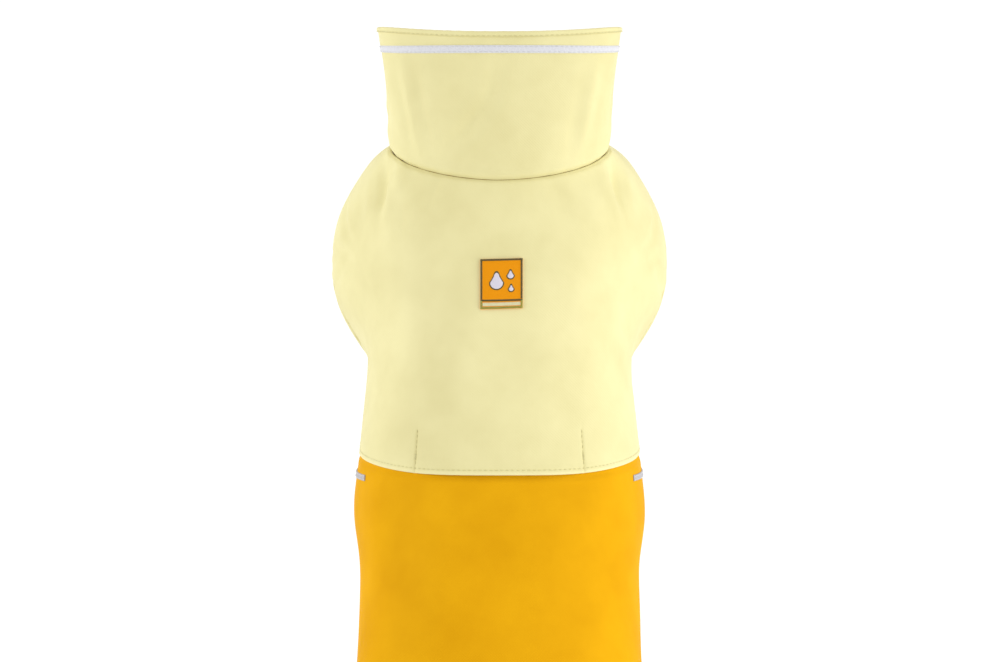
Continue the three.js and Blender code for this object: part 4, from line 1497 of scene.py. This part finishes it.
@dataclass
class Collar(CoatPart):
    """The tall collar with its rim binding and reflective tape."""

    top: float = 1.2
    seam_gap: float = 0.3
    tape_top: float = 7.4
    tape_sides_down: float = 4.3
    tape_width: float = 4.2
    tape_thick: float = 0.5
    round_mm: float = 430.0

    def turns(self, spacing: float) -> np.ndarray:
        """Angles round the collar, from one side of the throat to the other."""
        return np.linspace(-90, 270, int(self.round_mm / spacing) + 1)[None, :]

    def collar_cloth(self) -> Cloth:
        """The collar's cloth, which rolls over the neck seam."""
        rows = stops(self.top, COLLAR.length - self.seam_gap, 2.4, 0.7,
                     [(self.top, 3), (COLLAR.length, 6)])[:, None]
        cloth = Cloth(COLLAR, rows, self.turns(2.6), wraps=True)
        fade = smooth(cloth.row, 6, 22) * smooth(-cloth.row, -(COLLAR.length - 1), -(COLLAR.length - 12))
        cloth.relief += crease_relief(cloth.base, [*COLLAR_CREASES, *(
            Crease(c.row, c.column - 360, c.length, c.width, c.depth, c.turn, c.bend)
            for c in COLLAR_CREASES if c.column > 180)], COLLAR) * fade
        up = cloth.up
        aside = np.cos(np.radians(cloth.column)) ** 2
        cloth.relief += (0.9 - 0.8 * aside**2) * np.exp(-(((up - 3.6) / 2.6) ** 2))
        cloth.relief -= (0.5 + 0.7 * aside) * np.exp(-((up / 1.3) ** 2)) + 1.2 * aside**2 * np.exp(-((up / 6.0) ** 2))
        cloth.relief += 0.18 * np.sin(cloth.over / 2.1 + 1.2 * np.sin(cloth.over / 17)) * np.exp(
            -((up / 6) ** 2))
        cloth.relief[:, -1] = cloth.relief[:, 0]
        # Painted shade along the collar's lower edge, where it meets the neck seam
        cloth.paint_shade(up, 1.1, 0.5)
        return cloth

    def binding_cloth(self) -> Cloth:
        """The binding: a folded strip from inside the rim, over it and down the outside."""
        profile = np.array([
            (3.2, -1.5), (2.6, -1.95), (1.9, -2.1), (1.1, -2.0), (0.45, -1.6), (0.05, -0.9),
            (0.0, -0.3), (0.1, 0.2), (0.4, 0.5), (1.0, 0.72), (1.7, 0.78), (2.4, 0.72),
            (2.9, 0.5), (3.2, 0.1),
        ])
        turns = self.turns(2.2)
        surface = FoldedBand(profile)
        cloth = Cloth(surface, np.arange(len(profile), dtype=float)[:, None], turns, wraps=True,
                      thickness=0.45)
        around = (turns + 90) * self.round_mm / 360
        pucker = np.sin(around / 1.05 + 1.3 * np.sin(around / 13)) * (0.6 + 0.4 * np.sin(around / 31))
        cloth.relief += 0.09 * pucker * np.ones(cloth.row.shape)
        cloth.relief[:, -1] = cloth.relief[:, 0]
        # Painted shadow along the binding's lower edge on the collar
        cloth.paint_shade(cloth.up, 0.8, 0.8)
        return cloth

    def tape_cloth(self, outside: Cloth) -> Cloth:
        """The reflective tape, seated on the collar's cloth."""
        band = np.array([0, 0.12, 0.3, 0.5, 0.7, 0.88, 1.0])[:, None]
        turns = self.turns(2.6)
        row = self.tape_top + self.tape_sides_down * np.cos(np.radians(turns)) ** 2 + band * self.tape_width
        cloth = Cloth(COLLAR, row, turns, wraps=True, thickness=self.tape_thick)
        under = np.stack([np.interp(cloth.row[:, j], outside.row[:, j], outside.relief[:, j])
                          for j in range(cloth.row.shape[1])], axis=1)
        edge = np.minimum(band, 1 - band) * self.tape_width
        cloth.relief += under + self.tape_thick + 0.12 - 0.18 * np.clip(1 - edge / 0.6, 0, 1) ** 2
        around = (turns + 90) * self.round_mm / 360
        cloth.relief += 0.05 * np.sin(around / 1.6 + np.sin(around / 19))
        cloth.relief[:, -1] = cloth.relief[:, 0]
        return cloth

    def build(self) -> None:
        """Build the collar, its binding, its tape and their sewing."""
        cloth = self.collar_cloth()
        piece = cloth.build("collar_cloth")
        self.settle(piece, Slot.PALE, PALE_CLOTH, "collar")
        binding = self.binding_cloth()
        rim = binding.build("collar_rim_binding_cloth")
        self.settle(rim, Slot.PALE, PALE_CLOTH, "collar_rim_binding")
        tape = self.tape_cloth(cloth)
        band = tape.build("collar_tape_film")
        self.settle(band, Slot.TAPE, TAPE_FILM, "collar_reflective_tape")
        rim_sewing = TOPSTITCH.lay("collar_rim_stitching", [binding.row_line(1.1)])
        self.settle(rim_sewing, Slot.PALE, PALE_THREAD)
        tape_sewing = TOPSTITCH.lay("collar_tape_stitching", [
            tape.row_line(0.7), tape.row_line(0.7, from_end=False)], lift=0.1)
        self.settle(tape_sewing, Slot.TAPE, GREY_THREAD)


@dataclass(frozen=True)
class FoldedBand(Surface):
    """The rim binding's form: row is a place on its folded section, column an angle."""

    profile: np.ndarray
    row_step: float = 0.02

    def point(self, row: np.ndarray, column: np.ndarray) -> np.ndarray:
        """Point of the section's place: down from the rim, and out from the collar."""
        row, column = np.broadcast_arrays(np.asarray(row, float), np.asarray(column, float))
        places = np.arange(len(self.profile))
        down = np.interp(row, places, self.profile[:, 0])
        out = np.interp(row, places, self.profile[:, 1])
        return COLLAR.point(down, column) + COLLAR.normal(down, column) * out[..., None]


@dataclass
class FlankTape(CoatPart):
    """The reflective tape down a flank, beside the yoke's hem."""

    side: Side = Side.RIGHT
    ring: float = 5.17
    half_rings: float = 2.3 / 43
    top_angle: float = 29.8
    low_angle: float = -43.0
    thick: float = 0.5

    def build(self, panel: BackPanel) -> None:
        """Build the tape on the back panel.

        Args:
            panel: The panel whose layer drop the tape follows.
        """
        across = np.array([-1, -0.88, -0.6, -0.2, 0.2, 0.6, 0.88, 1.0])
        angles = np.linspace(self.low_angle, self.top_angle, 60)
        if self.side is Side.LEFT:
            angles = 180 - angles[::-1]
        ring = self.ring + across[:, None] * self.half_rings
        cloth = Cloth(BODY, ring, angles[None, :], thickness=self.thick)
        cloth.crease(BODY_CREASES)
        cloth.relief += self.thick + 0.15 - panel.layer_drop(cloth.row, cloth.column)
        cloth.relief -= 0.18 * (np.abs(across) > 0.95)[:, None]
        name = self.side.name.lower()
        piece = cloth.build(f"flank_tape_{name}_film")
        self.settle(piece, Slot.TAPE, SHADED_FLANK_TAPE_FILM, f"flank_tape_{name}")
        sewing = TOPSTITCH.lay(f"flank_tape_{name}_stitching", [
            cloth.row_line(0.8), cloth.row_line(0.8, from_end=False)], lift=0.1)
        self.settle(sewing, Slot.TAPE, GREY_THREAD)


@dataclass
class Patch(CoatPart):
    """The woven patch on the yoke: three outlined raindrops over a plain strip."""

    first_ring: float = 2.22
    last_ring: float = 3.10
    half: float = 13.0
    middle: float = 1.2
    tilt_rings: float = 0.01
    thick: float = 0.7
    border: float = 1.3
    strip_from_top: float = 26.6
    outline: float = 0.55
    drops: tuple[tuple[float, float, float], ...] = ((-3.0, 0.6, 9.4), (5.6, 5.0, 5.2), (6.0, -3.6, 4.2))

    def angle_at(self, ring: np.ndarray, x: np.ndarray) -> np.ndarray:
        """Angle on the back where the body's surface has this x."""
        half = BODY.ring_values(ring)[..., 4] * (1 + BODY.narrowing)
        return np.degrees(np.arccos(signed_power(np.clip(x / half, -1, 1), BODY.roundness(ring) / 2)))

    def cloth(self) -> Cloth:
        """The patch's cloth, seated on the yoke's."""
        ring = np.linspace(self.first_ring, self.last_ring, 44)[:, None]
        side = np.linspace(1, -1, 38)[None, :]
        ring = ring - side * self.tilt_rings
        ring, x = np.broadcast_arrays(ring, self.middle + side * self.half)
        cloth = Cloth(BODY, ring, self.angle_at(ring, x), thickness=self.thick)
        cloth.crease(BODY_CREASES)
        edge = np.minimum.reduce([cloth.over, cloth.back, cloth.down, cloth.up])
        cloth.relief += self.thick + 0.2 + 0.2 * (1 - smooth(edge, self.border, self.border + 0.5))
        cloth.relief -= 0.3 * np.clip(1 - edge / 0.7, 0, 1) ** 2
        return cloth

    def raindrop(self, cloth: Cloth, name: str, place: tuple[float, float], size: float,
                 height: float) -> bpy.types.Object:
        """Model a padded satin raindrop and lay it on the patch.

        Args:
            cloth: The patch's cloth.
            name: Name of the piece.
            place: Place across and along the patch from its middle, in mm.
            size: Width of the drop in mm.
            height: Height of the padding in mm.

        Returns:
            The drop.
        """
        bpy.ops.object.select_all(action="DESELECT")
        bpy.ops.mesh.primitive_uv_sphere_add(segments=28, ring_count=16, radius=size / 2)
        drop = bpy.context.active_object
        drop.name = name
        bpy.ops.object.mode_set(mode="EDIT")
        bpy.ops.mesh.select_all(action="SELECT")
        bpy.ops.transform.rotate(value=-math.pi / 2, orient_axis="X", center_override=(0, 0, 0))
        for step in range(5):
            level = size * 0.1 * (step + 0.3)
            edit_some(drop, lambda place: place.y > level)
            bpy.ops.transform.resize(value=(0.86, 1, 0.86), center_override=(0, level, 0))
            bpy.ops.transform.translate(value=(0, size * 0.06, 0))
        bpy.ops.mesh.select_all(action="SELECT")
        bpy.ops.transform.resize(value=(1, 1, 2 * height / size), center_override=(0, 0, 0))
        bpy.ops.mesh.normals_make_consistent(inside=False)
        bpy.ops.object.mode_set(mode="OBJECT")
        shape = np.array([v.co[:] for v in drop.data.vertices])
        rows, columns = cloth.row.shape
        over = cloth.over[rows // 2]
        down = cloth.down[:, columns // 2]
        j = np.interp(over[-1] / 2 + place[0] + shape[:, 0], over, np.arange(columns))
        i = np.interp(down[-1] / 2 - place[1] - shape[:, 1], down, np.arange(rows))
        points, normals = cloth.line(i, columns - 1 - j)
        placed = (points + normals * (shape[:, 2:3] + 0.1)) * MM
        drop.data.vertices.foreach_set("co", placed.reshape(-1))
        drop.data.update()
        select_only(drop)
        bpy.ops.object.shade_smooth()
        return drop

    def sewing(self, cloth: Cloth) -> list[bpy.types.Object]:
        """Sew the dark border, the moss-green border of the strip and the strip's cream filling."""
        inset = self.border * 0.5
        down, over, back = cloth.down[:, 0], cloth.over[0], cloth.back[0]
        low, inner = down > self.strip_from_top, (over > self.border) & (back > self.border)
        sides = [cloth.column_line(inset, from_end=False), cloth.column_line(inset, from_end=True)]
        dark = [cloth.row_line(inset, from_end=False), cloth.row_line(self.strip_from_top, from_end=False)]
        dark += [(points[~low], normals[~low]) for points, normals in sides]
        moss = [cloth.row_line(inset), *((points[low], normals[low]) for points, normals in sides)]
        satin = StitchMaker(length=self.border + 0.3, gap=0.62, thick=0.62)
        length = down[-1] - self.strip_from_top - 1.6 * self.border
        filling = StitchMaker(length=length, gap=0.7, thick=0.8)
        middle, slopes = cloth.row_line(self.border + length / 2)
        border = satin.lay("patch_border_stitching", dark, slant=80)
        strip = satin.lay("patch_strip_border_stitching", moss, slant=80)
        fill = filling.lay("patch_strip_stitching", [(middle[inner], slopes[inner])], lift=0.1, slant=89)
        for piece, thread in ((border, OLIVE_THREAD), (strip, MOSS_THREAD), (fill, CREAM_THREAD)):
            self.settle(piece, Slot.PATCH, thread)
        return [border, strip, fill]

    def build(self) -> None:
        """Build the patch, its sewing and its raindrops."""
        cloth = self.cloth()
        piece = cloth.build("woven_patch_cloth")
        self.settle(piece, Slot.PATCH, PATCH_CLOTH, "woven_patch")
        sewn = self.sewing(cloth)
        for number, (x, y, size) in enumerate(self.drops, start=1):
            edge = self.raindrop(cloth, f"patch_raindrop_{number}_outline", (x, y), size, 0.32)
            self.settle(edge, Slot.PATCH, OLIVE_THREAD)
            drop = self.raindrop(cloth, f"patch_raindrop_{number}", (x, y), size - 2 * self.outline, 0.6)
            self.settle(drop, Slot.PATCH, LILAC_THREAD)
            sewn += [edge, drop]


# Studio


@dataclass(frozen=True)
class SoftBox:
    """A square soft light: where it stands, how wide it is and its power."""

    name: str
    place: tuple[float, float, float]
    size: float
    power: float


@dataclass
class Studio:
    """The pale floor, the soft lights and the camera at the photograph's angle."""

    elevation: float = 70.0
    distance: float = 1.6
    target: tuple[float, float, float] = (0.0003, -0.062, -0.012)
    metres_per_pixel: float = 0.00062
    picture_width: int = 1000
    sensor_mm: float = 36.0
    floor_z: float = -1.1
    floor_glow: float = 0.16
    surround: float = 0.55
    boxes: tuple[SoftBox, ...] = (
        SoftBox(name="front right softbox", place=(1.5, 1.1, 0.9), size=1.5, power=13.2),
        SoftBox(name="rear right softbox", place=(1.1, -0.75, 0.45), size=1.0, power=11.3),
        SoftBox(name="left softbox", place=(-1.7, 0.0, 0.6), size=1.5, power=19.4),
    )

    def camera(self) -> None:
        """Stand the camera above and behind the coat."""
        tilt = math.radians(self.elevation)
        heading = Vector((0, math.cos(tilt), -math.sin(tilt)))
        data = bpy.data.cameras.new("camera")
        data.sensor_width = self.sensor_mm
        data.lens = self.distance / self.metres_per_pixel / self.picture_width * self.sensor_mm
        camera = bpy.data.objects.new("camera", data)
        camera.location = Vector(self.target) - heading * self.distance
        camera.rotation_euler = heading.to_track_quat("-Z", "Y").to_euler()
        bpy.context.collection.objects.link(camera)
        bpy.context.scene.camera = camera

    def lights(self) -> None:
        """Hang the soft boxes and a pale even surround."""
        for box in self.boxes:
            data = bpy.data.lights.new(box.name, "AREA")
            data.size = box.size
            data.energy = box.power
            light = bpy.data.objects.new(box.name, data)
            light.location = box.place
            towards = Vector((0, -0.1, -0.08)) - Vector(box.place)
            light.rotation_euler = towards.to_track_quat("-Z", "Y").to_euler()
            bpy.context.collection.objects.link(light)
        world = bpy.data.worlds.new("studio")
        world.use_nodes = True
        world.node_tree.nodes["Background"].inputs[0].default_value = (1, 1, 1, 1)
        world.node_tree.nodes["Background"].inputs[1].default_value = self.surround
        bpy.context.scene.world = world
        bpy.context.scene.view_settings.view_transform = "Standard"

    def floor(self) -> None:
        """Lay the pale floor well below the coat."""
        bpy.ops.object.select_all(action="DESELECT")
        bpy.ops.mesh.primitive_plane_add(size=14, location=(0, 0, self.floor_z))
        floor = bpy.context.active_object
        floor.name = "studio_floor"
        material = bpy.data.materials.new("matte white paper")
        material.use_nodes = True
        tree = material.node_tree
        shader = tree.nodes["Principled BSDF"]
        place = add_node(tree, "ShaderNodeTexCoord")
        fibre = add_node(tree, "ShaderNodeTexNoise", {"Vector": place.outputs["Object"], "Scale": 900.0})
        bump = add_node(tree, "ShaderNodeBump", {
            "Strength": 0.05, "Distance": 0.0002, "Height": fibre.outputs["Fac"]})
        tree.links.new(bump.outputs[0], shader.inputs["Normal"])
        shader.inputs["Base Color"].default_value = (0.95, 0.95, 0.95, 1)
        shader.inputs["Roughness"].default_value = 0.9
        shader.inputs["Emission Color"].default_value = (1, 1, 1, 1)
        shader.inputs["Emission Strength"].default_value = self.floor_glow
        floor.data.materials.append(material)

    def build(self) -> None:
        """Set up the camera, the floor and the lights."""
        self.camera()
        self.floor()
        self.lights()


def main() -> None:
    """Build the studio and the coat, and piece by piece."""
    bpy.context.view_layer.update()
    Studio().build()
    finishes = Finishes()
    Yoke(finishes).build()
    panel = BackPanel(finishes)
    panel.build()
    BellyPanel(finishes).build()
    for side in Side:
        Sleeve(finishes, side).build()
        FlankTape(finishes, side).build(panel)
    Collar(finishes).build()
    Patch(finishes).build()


if __name__ == "__main__":
    main()
